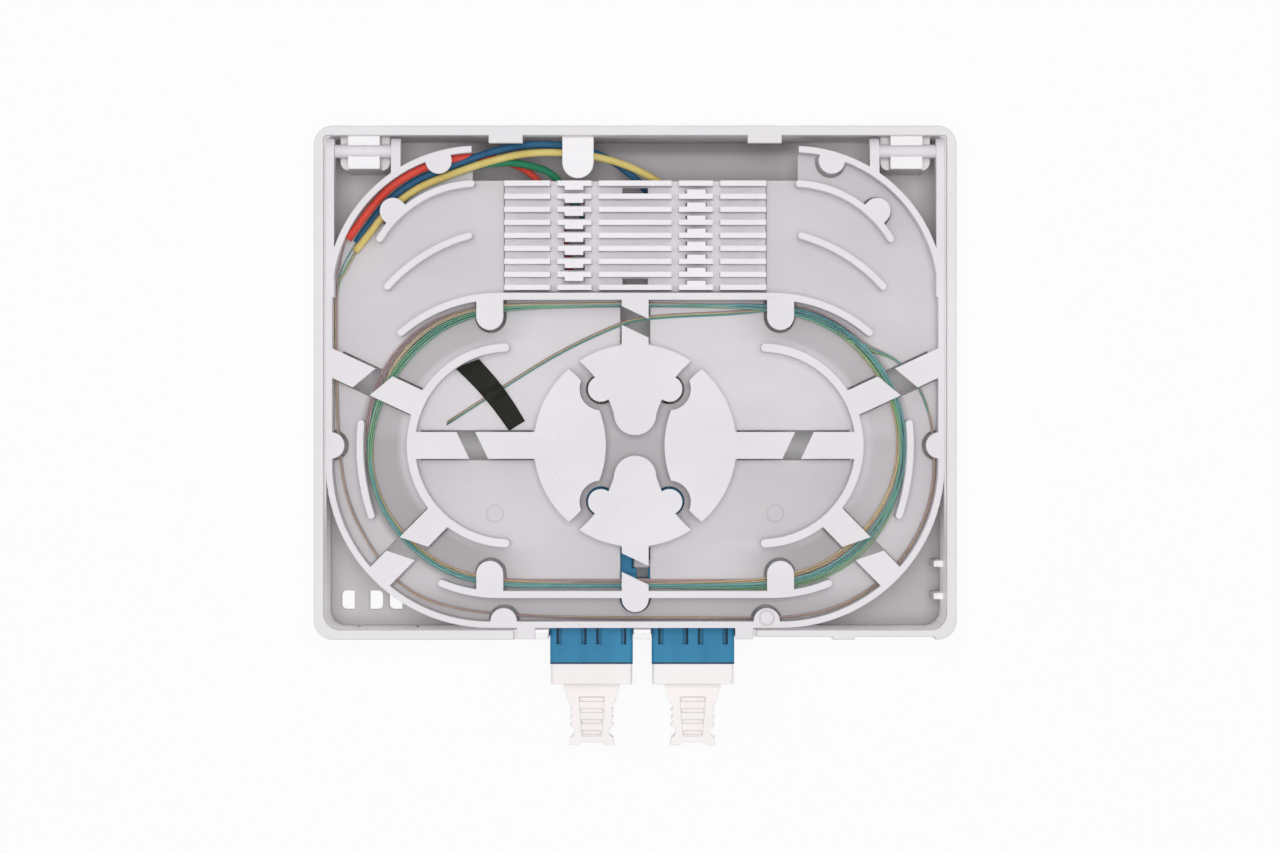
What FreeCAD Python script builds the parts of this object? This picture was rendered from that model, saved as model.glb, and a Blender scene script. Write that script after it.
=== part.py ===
import FreeCAD, Part
import Sketcher
import math
import os
import re

# Fibre wall outlet box: base, hinged splice tray, comb, adapters, caps, plugs and fibres.
# Frame: back face on z = 0, +Z away from the wall, +Y towards the tray hinge, origin in the middle.

SIZES = [
    ("base_length", 100.0, "base, along X"),
    ("base_width", 80.0, "base, along Y"),
    ("base_height", 19.0, "back face to rim"),
    ("base_wall", 1.5, "side wall"),
    ("base_floor", 1.8, "floor"),
    ("base_corner", 3.0, "outer corner radius"),
    ("inner_corner", 0.5, "inner corner radius beside the hinge"),
    ("low_corner", 2.6, "inner corner radius at the bottom wall"),
    ("sill_half", 18.9, "half length of the lowered sill in the bottom wall"),
    ("sill_drop", 1.8, "sill below the rim"),
    ("panel_recess", 0.45, "knock-out panels set back from the outer face"),
    ("panel_long", 12.6, "knock-out panel, along X"),
    ("panel_gap", 3.4, "full wall between two knock-out panels"),
    ("panel_margin", 3.2, "knock-out panel to the base's side"),
    ("tear_depth", 0.5, "arched tear groove inside the bottom wall"),
    ("tear_line", 0.7, "width of a tear groove"),
    ("tear_span", 10.0, "arched tear groove, along X"),
    ("tear_rise", 10.5, "top of the arch above the floor"),
    ("tear_inset", 5.9, "arch to the base's side face"),
    ("catch_long", 5.3, "cover catch, along X"),
    ("catch_deep", 1.2, "cover catch, out of the wall"),
    ("catch_tall", 1.7, "cover catch, down from the rim"),
    ("catch_offset", 20.15, "cover catch from the middle"),
    ("tongue_x", -8.95, "retaining tongue, middle"),
    ("tongue_wide", 4.9, "retaining tongue, along X"),
    ("tongue_reach", 6.5, "retaining tongue, out of the wall"),
    ("tongue_thick", 1.0, "retaining tongue"),
    ("tongue_drop", 4.0, "tongue's underside below the rim"),
    ("tie_pitch", 7.6, "between two tie anchors"),
    ("tie_bar", 2.4, "bar between the two holes of an anchor"),
    ("tie_hole", 2.1, "tie hole, along X"),
    ("tie_slot", 3.0, "tie hole, along Y"),
    ("tie_x", 43.6, "first tie anchor from the middle"),
    ("tie_y", 34.5, "tie anchors below the middle"),
    ("screw_pitch", 60.0, "between the wall screws"),
    ("screw_hole", 4.2, "wall screw hole"),
    ("screw_boss", 9.0, "raised ring round a screw hole"),
    ("screw_boss_rise", 1.2, "ring above the floor"),
    ("side_rib_reach", 1.5, "cable rib on the right wall"),
    ("side_rib_thick", 1.0, "cable rib"),
    ("side_rib_rise", 9.0, "cable rib above the floor"),
    ("side_rib_y", 31.0, "cable ribs below the middle"),
    ("side_rib_gap", 5.1, "between the two cable ribs"),
    ("hinge_setback", 2.35, "hinge axis to the inner face of the top wall"),
    ("hinge_drop", 2.6, "hinge axis below the rim"),
    ("pin_radius", 1.05, "hinge pin"),
    ("pin_play", 0.1, "clip bore over the pin"),
    ("clip_mouth", 1.65, "opening of the clip"),
    ("clip_lip", 1.4, "clip's top above the axis"),
    ("clip_wide", 5.0, "clip jaws, along X"),
    ("clip_inset", 7.7, "middle of a clip to the base's side face"),
    ("clip_jaw", 2.8, "clip's lower jaw from the axis"),
    ("saddle_wide", 7.8, "block under a clip, along X"),
    ("saddle_drop", 2.4, "top of the block below the axis"),
    ("saddle_corner", 1.2, "block's corner radius"),
    ("eye_radius", 2.0, "hinge arm's round end"),
    ("arm_thick", 1.3, "hinge arm beside the base wall"),
    ("post_thick", 1.5, "inner hinge post"),
    ("post_gap", 0.35, "post to the clip block"),
    ("post_reach", 3.6, "inner hinge post from the axis"),
    ("tray_gap", 0.3, "tray to the side walls and the bottom wall"),
    ("tray_floor", 1.2, "tray floor"),
    ("tray_depth", 5.0, "tray wall above its floor"),
    ("tray_wall", 1.0, "tray's outer wall"),
    ("tray_top_radius", 23.6, "tray's upper corners"),
    ("tray_top_rise", 0.75, "tray's upper edge past the hinge axis"),
    ("tray_low_radius", 25.5, "tray's lower corners"),
    ("notch_half", 25.5, "half length of the open notch in the tray's upper side"),
    ("notch_drop", 4.4, "tray floor's upper edge from the hinge axis"),
    ("guide_wall", 1.05, "fibre guides"),
    ("race_wall", 1.1, "walls of the inner race"),
    ("race_margin", 4.65, "inner race to the tray's lower face"),
    ("race_inset", 26.9, "round end of the inner race to the tray's side"),
    ("race_top_turn", 40.8, "degrees of arc at the ends of the upper race wall"),
    ("race_low_turn", 22.4, "degrees of arc at the ends of the lower race wall"),
    ("ring_radius", 15.9, "half ring, outside"),
    ("ring_wall", 1.3, "half ring"),
    ("ring_inset", 28.5, "half ring's centre to the tray's side"),
    ("hub_radius", 15.8, "centre disc of four lobes"),
    ("hub_channel", 1.95, "fibre channel between two lobes"),
    ("lobe_radius", 15.15, "side lobes' inner edge about the half ring's centre"),
    ("lobe_neck", 4.9, "neck of the upper and lower lobes from the disc's centre"),
    ("lobe_shell", 1.1, "plate of the hollow lobes"),
    ("ear_radius", 2.0, "round ears on the lobes"),
    ("ear_x", 5.35, "ear from the middle"),
    ("ear_y", 8.8, "ear from the disc's centre"),
    ("ear_room", 1.3, "room round an ear in the side lobes"),
    ("first_guide_radius", 17.75, "first guide about the upper corner"),
    ("second_guide_radius", 26.6, "second guide"),
    ("second_guide_inset", 29.4, "second guide's centre to the tray's side"),
    ("second_guide_rise", 7.04, "second guide's centre above the race's middle"),
    ("side_guide_radius", 34.6, "guide beside the coil"),
    ("side_guide_inset", 5.3, "guide beside the coil to the tray's side"),
    ("finger_thick", 1.1, "fingers and tabs"),
    ("finger_wide", 4.2, "fingers and tabs"),
    ("finger_gap", 2.9, "opening between two fingers"),
    ("finger_slant", 1.0, "half the slant of a finger's end"),
    ("slot_room", 0.25, "floor slot round a finger"),
    ("hole_room", 0.35, "floor hole round a tab"),
    ("tab_reach", 5.25, "tabs on the inner race, from the wall's middle"),
    ("tab_offset", 22.65, "tabs on the inner race from the middle"),
    ("bump_radius", 2.05, "half-round tabs on the outer wall"),
    ("bump_reach", 2.4, "half-round tabs, from the wall's middle"),
    ("bump_offset", 20.5, "half-round tabs on the lower wall from the middle"),
    ("upper_bump_angle", 105.8, "degrees, half-round tabs on the upper corners"),
    ("guide_tab_angle", 134.3, "degrees, tabs on the first guide"),
    ("guide_tab_reach", 3.1, "tabs on the first guide"),
    ("pill_reach", 2.2, "lower finger past the race wall"),
    ("lug_wide", 2.8, "tray lug on the sill, along X"),
    ("lug_offset", 17.0, "tray lug from the middle"),
    ("lug_gap", 0.05, "lug above the sill"),
    ("lug_margin", 0.1, "lug's end to the base's outer face"),
    ("upper_angle", 155.0, "degrees, upper slanted fingers about the half ring"),
    ("lower_angle", 225.5, "degrees, lower slanted fingers about the half ring"),
    ("fin_count", 9, "rows of fins"),
    ("fin_pitch", 2.03, "between two rows"),
    ("fin_thick", 0.84, "fin"),
    ("fin_tall", 5.3, "fin's top above the ledge"),
    ("fin_end_from", 13.25, "end fins start"),
    ("fin_hook_from", 6.8, "hooked fins start"),
    ("fin_hook_to", 12.15, "hooked fins end"),
    ("fin_mid_half", 5.7, "half length of the middle fins"),
    ("hook_from", 8.1, "hooks start"),
    ("hook_to", 11.0, "hooks end"),
    ("hook_reach", 0.62, "hook out of the fin"),
    ("hook_room", 0.2, "opening under a hook past its edges"),
    ("hook_thick", 0.8, "hook"),
    ("comb_long", 40.9, "comb, along X"),
    ("comb_edge", 0.1, "comb's plate past the end fins"),
    ("comb_plate", 0.8, "plate under the channels"),
    ("comb_ramp", 1.85, "sloping end of the channels"),
    ("comb_play", 0.15, "room round the comb"),
    ("comb_gap", 0.2, "room below the comb"),
    ("comb_ledge", 1.0, "thickness of the ledge"),
    ("comb_seat", 2.0, "width of the ledge"),
    ("comb_peep", 2.0, "half length of the openings in the first and last channel"),
    ("adapter_wide", 13.0, "adapter, along X"),
    ("adapter_tall", 9.4, "adapter, along Z"),
    ("adapter_long", 28.5, "adapter, along Y"),
    ("adapter_round", 0.5, "adapter's long edges"),
    ("adapter_pitch", 16.0, "between the adapters"),
    ("adapter_shift", 1.1, "adapters off the middle"),
    ("adapter_proud", 4.2, "adapter out of the bottom wall"),
    ("adapter_play", 0.15, "adapter in its notch"),
    ("adapter_web", 1.0, "wall between front and rear ports"),
    ("collar_reach", 0.6, "collar out of the adapter's sides"),
    ("collar_long", 1.6, "collar, along Y"),
    ("collar_play", 0.05, "collar between the ribs"),
    ("cradle_thick", 1.2, "ribs beside the collars"),
    ("cradle_rise", 7.0, "ribs above the floor"),
    ("cradle_side", 2.0, "ribs past the collars"),
    ("port_pitch", 6.25, "between the two ports of an adapter"),
    ("port_size", 4.7, "square port"),
    ("port_low", 1.1, "port above the adapter's underside"),
    ("key_wide", 3.0, "latch keyway"),
    ("key_tall", 2.2, "latch keyway"),
    ("window_wide", 0.8, "latch window"),
    ("window_deep", 0.9, "latch window"),
    ("window_offset", 1.95, "latch window from the port's middle"),
    ("window_from", 3.1, "latch window to the adapter's face"),
    ("window_long", 6.0, "latch window, along Y"),
    ("tube_radius", 1.4, "sleeve holder"),
    ("tube_long", 3.4, "sleeve holder out of the web"),
    ("sleeve_radius", 0.8, "alignment sleeve, outside"),
    ("sleeve_wall", 0.16, "alignment sleeve"),
    ("sleeve_long", 6.4, "alignment sleeve"),
    ("sleeve_slit", 0.3, "slit of the alignment sleeve"),
    ("sleeve_play", 0.03, "sleeve in its holder"),
    ("lip_radius", 0.72, "bore at the sleeve holder's end"),
    ("ferrule_radius", 0.625, "ferrule"),
    ("ferrule_long", 8.5, "ferrule"),
    ("ferrule_play", 0.01, "ferrule in its plug"),
    ("plug_size", 4.5, "plug housing"),
    ("plug_long", 18.0, "plug housing, along Y"),
    ("plug_front", 0.85, "plug's face to the adapter's web"),
    ("plug_recess", 1.6, "plug's recess round the sleeve holder, radius"),
    ("plug_recess_deep", 5.0, "plug's recess"),
    ("latch_wide", 2.4, "plug latch"),
    ("latch_thick", 0.8, "plug latch"),
    ("latch_foot", 3.0, "latch's root from the plug's face"),
    ("latch_tip", 16.0, "latch's tip from the plug's face"),
    ("latch_rise", 1.9, "latch's tip above the plug"),
    ("boot_radius", 1.6, "boot at the plug"),
    ("boot_tip", 0.85, "boot at its end, radius"),
    ("boot_long", 10.0, "boot"),
    ("boot_bore", 0.57, "bore of the boot, radius"),
    ("buffer_radius", 0.55, "pigtail tube"),
    ("buffer_split", 22.0, "where a pigtail passes from base to tray"),
    ("cap_plate", 3.2, "cap's plate, along Y"),
    ("cap_margin", 0.1, "cap's plate inside the adapter's sides"),
    ("cap_neck", 3.0, "cap's neck, along Y"),
    ("cap_neck_wide", 9.2, "neck at the plate"),
    ("cap_neck_end", 7.5, "neck at the tail"),
    ("cap_tail_wide", 6.85, "tail, along X"),
    ("cap_tail_long", 6.9, "tail, along Y"),
    ("cap_tail_thick", 3.4, "tail, along Z"),
    ("cap_scallop", 0.5, "hollows in the tail's sides, radius"),
    ("cap_scallop_deep", 0.26, "hollows in the tail's sides"),
    ("cap_scallop_pitch", 1.2, "between two hollows"),
    ("cap_scallop_from", 0.85, "first hollow from the neck"),
    ("cap_waist", 0.9, "waist before the tail's foot, radius"),
    ("cap_waist_deep", 0.7, "waist before the tail's foot"),
    ("cap_waist_from", 4.8, "waist from the neck"),
    ("cap_foot_half", 2.1, "half length of the notch in the tail's end"),
    ("cap_foot_rise", 0.45, "notch in the tail's end"),
    ("cap_panel_wide", 4.1, "grip panel at the neck"),
    ("cap_panel_end", 3.1, "grip panel at the foot"),
    ("cap_panel_long", 6.25, "grip panel, along Y"),
    ("cap_panel_rise", 0.75, "grip panel past the neck's end"),
    ("cap_panel_deep", 0.25, "grip panel"),
    ("cap_pocket_count", 4, "grip pockets in the panel"),
    ("cap_pocket_pitch", 1.75, "between two grip pockets"),
    ("cap_pocket_long", 0.7, "grip pockets, along Y"),
    ("cap_pocket_deep", 0.7, "grip pockets"),
    ("cap_pocket_margin", 0.1, "grip pockets inside the panel"),
    ("cap_plug", 4.3, "cap's plugs, square"),
    ("cap_plug_long", 5.5, "cap's plugs, along Y"),
    ("coil_radius", 21.5, "fibre coil's round ends"),
    ("coil_half", 20.0, "fibre coil's centres from the middle"),
    ("coil_wide", 1.2, "fibre coil"),
    ("coil_tall", 1.0, "fibre coil"),
    ("feed_wide", 0.5, "bundle of four bare fibres"),
    ("feed_inset", 1.8, "bundle's middle to the tray's outer faces"),
    ("tail_wide", 0.5, "fibres to the tape"),
    ("fibre_tall", 0.4, "height of the bare fibre bundles"),
    ("tape_long", 11.7, "tape"),
    ("tape_wide", 3.6, "tape"),
    ("tape_thick", 0.15, "tape"),
    ("tape_hump", 0.5, "tape over the fibres"),
]

# Places worked out from the sizes
PLACES = [
    ("base_x", "base_length / 2"),
    ("base_y", "base_width / 2"),
    ("inner_x", "base_x - base_wall"),
    ("inner_y", "base_y - base_wall"),
    ("sill_z", "base_height - sill_drop"),
    ("hinge_y", "inner_y - hinge_setback"),
    ("hinge_z", "base_height - hinge_drop"),
    ("clip_x", "base_x - clip_inset"),
    ("clip_low", "hinge_y - clip_jaw"),
    ("post_x", "clip_x - saddle_wide / 2 - post_gap"),
    ("tray_x", "inner_x - tray_gap"),
    ("tray_low", "inner_y - tray_gap"),
    ("tray_z", "hinge_z + eye_radius"),
    ("floor_z", "tray_z - tray_depth"),
    ("under_z", "floor_z - tray_floor"),
    ("finger_z", "tray_z - finger_thick"),
    ("edge_y", "hinge_y - notch_drop"),
    ("top_cx", "tray_x - tray_top_radius"),
    ("top_cy", "hinge_y + tray_top_rise - tray_top_radius"),
    ("low_cx", "tray_x - tray_low_radius"),
    ("low_cy", "tray_low_radius - tray_low"),
    ("comb_tall", "(fin_count - 1) * fin_pitch + fin_thick + 2 * comb_edge"),
    ("comb_top", "edge_y - comb_edge"),
    ("comb_low", "comb_top - comb_tall"),
    ("window_x", "comb_long / 2 + comb_play"),
    ("race_top", "comb_low - comb_gap - comb_play"),
    ("race_bottom", "race_margin - tray_low"),
    ("race_r", "(race_top - race_bottom) / 2"),
    ("race_y", "(race_top + race_bottom) / 2"),
    ("race_x", "tray_x - race_inset"),
    ("race_in", "race_r - race_wall"),
    ("race_mid", "race_r - race_wall / 2"),
    ("ring_x", "tray_x - ring_inset"),
    ("ring_mid", "ring_radius - ring_wall / 2"),
    ("adapter_y", "-base_y - adapter_proud"),
    ("middle_y", "adapter_y + adapter_long / 2"),
    ("rear_y", "adapter_y + adapter_long"),
    ("adapter_z", "base_floor + adapter_tall"),
    ("port_x", "port_pitch / 2"),
    ("port_z", "base_floor + port_low + port_size / 2"),
    ("web_half", "adapter_web / 2"),
    ("plug_y", "middle_y + web_half + plug_front"),
    ("boot_y", "plug_y + plug_long"),
    ("upper_far", "(tray_x - ring_x - tray_wall / 2) / cos((180 - upper_angle) * 1 deg)"),
    ("upper_lean", "finger_wide / 2 * tan((180 - upper_angle) * 1 deg)"),
    ("low_dx", "ring_x - low_cx"),
    ("low_dy", "low_cy - race_y"),
    ("low_dot", "low_dx * cos(lower_angle * 1 deg) + low_dy * sin(lower_angle * 1 deg)"),
    ("low_r", "tray_low_radius - tray_wall / 2"),
    ("lower_far", "low_dot + sqrt(low_r ^ 2 - low_dx ^ 2 - low_dy ^ 2 + low_dot ^ 2)"),
    ("upper_split", "(ring_radius + upper_far) / 2"),
    ("lower_split", "(ring_radius + lower_far) / 2"),
    ("side_far", "ring_x + ring_mid"),
    ("side_split", "(hub_radius + side_far) / 2"),
    ("end_split", "(hub_radius + race_in) / 2"),
    ("half_gap", "finger_gap / 2"),
    ("stub_from", "hub_radius - lobe_shell / 2"),
    ("pill_tip", "race_r + pill_reach"),
    ("bump_y", "tray_wall / 2 - tray_low"),
    ("bump_x", "tray_wall / 2 - tray_x"),
    ("upper_bump_r", "tray_top_radius - tray_wall / 2"),
]

doc = FreeCAD.newDocument("fibre_wall_outlet")
dims = doc.addObject("Spreadsheet::Sheet", "dims")
for row, (alias, value, meaning) in enumerate(SIZES, start=1):
    dims.set(f"A{row}", meaning)
    dims.set(f"B{row}", str(value))
    dims.setAlias(f"B{row}", alias)
for row, (alias, formula) in enumerate(PLACES, start=len(SIZES) + 1):
    dims.set(f"B{row}", f"={formula}")
    dims.setAlias(f"B{row}", alias)
    dims.recompute()
doc.recompute()
NAMES = {alias for alias, *_ in SIZES + PLACES}


def full(expression):
    """The expression with the sheet's name put before each of its sizes."""
    return re.sub(r"[a-z_]+", lambda word: f"dims.{word[0]}" if word[0] in NAMES else word[0], str(expression))


def number(expression):
    """The present value of an expression in the sheet's sizes."""
    return float(dims.evalExpression(full(expression)))


def polar(cx, cy, radius, angle):
    """A point at an angle in degrees on a circle, as two expressions."""
    turn = f"(({angle}) * 1 deg)"
    return f"{cx} + ({radius}) * cos{turn}", f"{cy} + ({radius}) * sin{turn}"


def flip(expression):
    """The expression with its sign changed."""
    return f"-({expression})"


def body(name, x="0", z="0"):
    """An empty solid named for its piece, at its place."""
    made = doc.addObject("PartDesign::Body", name)
    made.Label = name
    made.setExpression("Placement.Base.x", full(x))
    made.setExpression("Placement.Base.z", full(z))
    return made


def origin_part(owner, role):
    """One of a body's own origin planes or axes."""
    return next(item for item in owner.Origin.OriginFeatures if item.Role == role)


def sketch(owner, name, plane="XY_Plane", lift="0"):
    """A sketch on an origin plane of its body, lifted along the plane's normal."""
    made = owner.newObject("Sketcher::SketchObject", f"{owner.Name}_{name}")
    made.AttachmentSupport = [(origin_part(owner, plane), "")]
    made.MapMode = "FlatFace"
    made.setExpression("AttachmentOffset.Base.z", full(lift))
    return made


def tie_all(drawn, wanted):
    """Adds constraints to a sketch: each is (constraint, expression or None)."""
    indices = drawn.addConstraint([constraint for constraint, _ in wanted])
    for index, (_, expression) in zip(indices, wanted):
        if expression is not None:
            drawn.setExpression(f"Constraints[{index}]", full(expression))


def place_tie(kind, geometry, end, expression):
    """A tie of one coordinate of a point, measured from the sketch's origin."""
    return Sketcher.Constraint(kind, -1, 1, geometry, end, number(expression)), expression


def arc_between(start, stop, centre, left):
    """An arc from start to stop about a centre, turning left or right."""
    first, last = (start, stop) if left else (stop, start)
    from_angle = math.atan2(first.y - centre.y, first.x - centre.x)
    to_angle = math.atan2(last.y - centre.y, last.x - centre.x)
    if to_angle <= from_angle:
        to_angle += 2 * math.pi
    circle_line = Part.Circle(centre, FreeCAD.Vector(0, 0, 1), start.distanceToPoint(centre))
    return Part.ArcOfCircle(circle_line, from_angle, to_angle)


def outline(drawn, corners, arcs=None, twin=False):
    """A closed outline through corners, with arcs on some edges: edge number -> (centre x, y, left turn)."""
    arcs = arcs or {}
    points = [FreeCAD.Vector(number(x), number(y), 0) for x, y in corners]
    count = len(points)
    edges = []
    for index in range(count):
        start, stop = points[index], points[(index + 1) % count]
        if index in arcs:
            cx, cy, left = arcs[index]
            curve = arc_between(start, stop, FreeCAD.Vector(number(cx), number(cy), 0), left)
            edges.append((drawn.addGeometry(curve, False), 1 if left else 2, 2 if left else 1))
        else:
            edges.append((drawn.addGeometry(Part.LineSegment(start, stop), False), 1, 2))
    wanted = []
    for index, (geometry, first, last) in enumerate(edges):
        after, after_first, _ = edges[(index + 1) % count]
        wanted.append((Sketcher.Constraint("Coincident", geometry, last, after, after_first), None))
        wanted.append(place_tie("DistanceX", geometry, first, corners[index][0]))
        wanted.append(place_tie("DistanceY", geometry, first, corners[index][1]))
    for index, (cx, cy, _) in arcs.items():
        chord = points[(index + 1) % count] - points[index]
        upright = abs(chord.y) >= abs(chord.x)
        kind, middle = ("DistanceX", cx) if upright else ("DistanceY", cy)
        wanted.append(place_tie(kind, edges[index][0], 3, middle))
    tie_all(drawn, wanted)
    if twin:
        mirrored = [(flip(x), y) for x, y in corners]
        outline(drawn, mirrored, {index: (flip(cx), cy, not left) for index, (cx, cy, left) in arcs.items()})


def rectangle(drawn, x0, y0, x1, y1, twin=False):
    """A plain rectangle between two corners."""
    outline(drawn, [(x0, y0), (x1, y0), (x1, y1), (x0, y1)], twin=twin)


def rounded(drawn, x0, y0, x1, y1, radius):
    """A rectangle with four round corners."""
    left, right = f"{x0} + {radius}", f"{x1} - ({radius})"
    low, high = f"{y0} + {radius}", f"{y1} - ({radius})"
    corners = [(left, y0), (right, y0), (x1, low), (x1, high), (right, y1), (left, y1), (x0, high), (x0, low)]
    arcs = {1: (right, low, True), 3: (right, high, True), 5: (left, high, True), 7: (left, low, True)}
    outline(drawn, corners, arcs)


def circle(drawn, x, y, radius, twin=False):
    """A circle at a place."""
    centre = FreeCAD.Vector(number(x), number(y), 0)
    line = Part.Circle(centre, FreeCAD.Vector(0, 0, 1), number(radius))
    geometry = drawn.addGeometry(line, False)
    size = Sketcher.Constraint("Radius", geometry, number(radius)), radius
    tie_all(drawn, [place_tie("DistanceX", geometry, 3, x), place_tie("DistanceY", geometry, 3, y), size])
    if twin:
        circle(drawn, flip(x), y, radius)


def curved_wall(drawn, cx, cy, radius, thick, start, stop, twin=False):
    """A wall along an arc, with round ends: radius is at its middle, angles in degrees."""
    inner, outer = f"{radius} - {thick} / 2", f"{radius} + {thick} / 2"
    corners = [polar(cx, cy, outer, start), polar(cx, cy, outer, stop)]
    corners += [polar(cx, cy, inner, stop), polar(cx, cy, inner, start)]
    arcs = {0: (cx, cy, True), 1: (*polar(cx, cy, radius, stop), True),
            2: (cx, cy, False), 3: (*polar(cx, cy, radius, start), True)}
    outline(drawn, corners, arcs, twin)


def bar(drawn, cx, angle, near, far, near_slant, far_slant, room="0", twin=False):
    """A straight bar along a ray from a point at the race's height, with slanted ends."""
    half = f"(finger_wide / 2 + {room})"
    turn = f"(({angle}) * 1 deg)"
    corners = []
    for along, side in ((f"({near} - {near_slant})", "-"), (f"({far} - {far_slant})", "-"),
                        (f"({far} + {far_slant})", "+"), (f"({near} + {near_slant})", "+")):
        other = "+" if side == "-" else "-"
        corners.append((f"{cx} + {along} * cos{turn} {other} {half} * sin{turn}",
                        f"race_y + {along} * sin{turn} {side} {half} * cos{turn}"))
    outline(drawn, corners, twin=twin)


def round_tab(drawn, x, y, angle, reach, half, twin=False):
    """A tab with a round tip, from its root along a direction in degrees."""
    turn = f"(({angle}) * 1 deg)"
    along = f"(({reach}) - ({half}))"
    tip = (f"{x} + {along} * cos{turn}", f"{y} + {along} * sin{turn}")
    right = (f"({half}) * sin{turn}", f"({half}) * cos{turn}")
    corners = [(f"{x} + {right[0]}", f"{y} - {right[1]}"),
               (f"{tip[0]} + {right[0]}", f"{tip[1]} - {right[1]}"),
               (f"{tip[0]} - {right[0]}", f"{tip[1]} + {right[1]}"),
               (f"{x} - {right[0]}", f"{y} + {right[1]}")]
    outline(drawn, corners, {1: (*tip, True)}, twin)


def pad(owner, drawn, length, against_normal=False):
    """Adds material from a sketch along its plane's normal."""
    made = owner.newObject("PartDesign::Pad", f"{drawn.Name}_pad")
    made.Profile = drawn
    made.setExpression("Length", full(length))
    made.Reversed = against_normal
    owner.Tip = made
    return made


def pocket(owner, drawn, depth, along_normal=False):
    """Cuts material from a sketch, against its plane's normal unless told otherwise."""
    made = owner.newObject("PartDesign::Pocket", f"{drawn.Name}_cut")
    made.Profile = drawn
    made.setExpression("Length", full(depth))
    made.Reversed = along_normal
    owner.Tip = made
    return made


def mirror(owner, features, name):
    """Repeats features on the other side of the body's YZ plane."""
    made = owner.newObject("PartDesign::Mirrored", f"{owner.Name}_{name}")
    made.Originals = features
    made.MirrorPlane = (origin_part(owner, "YZ_Plane"), [""])
    owner.Tip = made


def rows(owner, features, name, count, length):
    """Repeats features along the body's -Y axis."""
    made = owner.newObject("PartDesign::LinearPattern", f"{owner.Name}_{name}")
    made.Originals = features
    made.Direction = (origin_part(owner, "Y_Axis"), [""])
    made.Reversed = True
    made.setExpression("Length", full(length))
    made.setExpression("Occurrences", full(count))
    owner.Tip = made


def base_shell(base):
    """The open box: floor, four walls, lowered sill, adapter notches and the ribs beside the collars."""
    outside = sketch(base, "outside")
    rounded(outside, "-base_x", "-base_y", "base_x", "base_y", "base_corner")
    pad(base, outside, "base_height")
    inside = sketch(base, "inside", lift="base_height")
    low, high = "low_corner - inner_y", "inner_y - inner_corner"
    near, far = "inner_x - low_corner", "inner_x - inner_corner"
    corners = [(f"-({near})", "-inner_y"), (near, "-inner_y"), ("inner_x", low), ("inner_x", high),
               (far, "inner_y"), (f"-({far})", "inner_y"), ("-inner_x", high), ("-inner_x", low)]
    arcs = {1: (near, low, True), 3: (far, high, True),
            5: (f"-({far})", high, True), 7: (f"-({near})", low, True)}
    outline(inside, corners, arcs)
    pocket(base, inside, "base_height - base_floor")
    sill = sketch(base, "sill", lift="base_height")
    rectangle(sill, "-sill_half", "-base_y - 1", "sill_half", "0.2 - inner_y")
    pocket(base, sill, "sill_drop")
    cradle = sketch(base, "cradle", lift="base_floor")
    reach = "(adapter_pitch / 2 + adapter_wide / 2 + collar_reach + cradle_side)"
    near, far = "(collar_long / 2 + collar_play)", "(collar_long / 2 + collar_play + cradle_thick)"
    rectangle(cradle, f"adapter_shift - {reach}", f"middle_y - {far}",
              f"adapter_shift + {reach}", f"middle_y - {near}")
    rectangle(cradle, f"adapter_shift - {reach}", f"middle_y + {near}",
              f"adapter_shift + {reach}", f"middle_y + {far}")
    pad(base, cradle, "cradle_rise")
    notches = sketch(base, "notches", lift="base_height")
    half = "(adapter_wide / 2 + adapter_play)"
    for sign in ("-", "+"):
        place = f"adapter_shift {sign} adapter_pitch / 2"
        rectangle(notches, f"{place} - {half}", "-base_y - 1", f"{place} + {half}", f"middle_y + {far} + 1")
    pocket(base, notches, "base_height - base_floor")


def base_hinge(base):
    """Two open clips on blocks against the top wall, which take the tray's pins."""
    saddle = sketch(base, "saddle", lift="base_floor")
    left, right = "clip_x - saddle_wide / 2", "clip_x + saddle_wide / 2"
    bend_left, bend_right = f"{left} + saddle_corner", f"{right} - saddle_corner"
    bend_y = "clip_low + saddle_corner"
    corners = [(bend_left, "clip_low"), (bend_right, "clip_low"), (right, bend_y),
               (right, "inner_y + 0.3"), (left, "inner_y + 0.3"), (left, bend_y)]
    arcs = {1: (bend_right, bend_y, True), 5: (bend_left, bend_y, True)}
    outline(saddle, corners, arcs, twin=True)
    pad(base, saddle, "hinge_z - saddle_drop - base_floor")
    jaws = sketch(base, "jaws", "YZ_Plane", "clip_x - clip_wide / 2")
    lip = "hinge_z + sqrt((pin_radius + pin_play) ^ 2 - (clip_mouth / 2) ^ 2)"
    foot, top = "hinge_z - saddle_drop - 0.3", "hinge_z + clip_lip"
    before, behind = "hinge_y - clip_mouth / 2", "hinge_y + clip_mouth / 2"
    corners = [("clip_low", foot), ("inner_y + 0.3", foot), ("inner_y + 0.3", top), (behind, top),
               (behind, lip), (before, lip), (before, top), ("clip_low", top)]
    outline(jaws, corners, {4: ("hinge_y", "hinge_z", False)})
    mirror(base, [pad(base, jaws, "clip_wide")], "jaws_twin")


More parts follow.
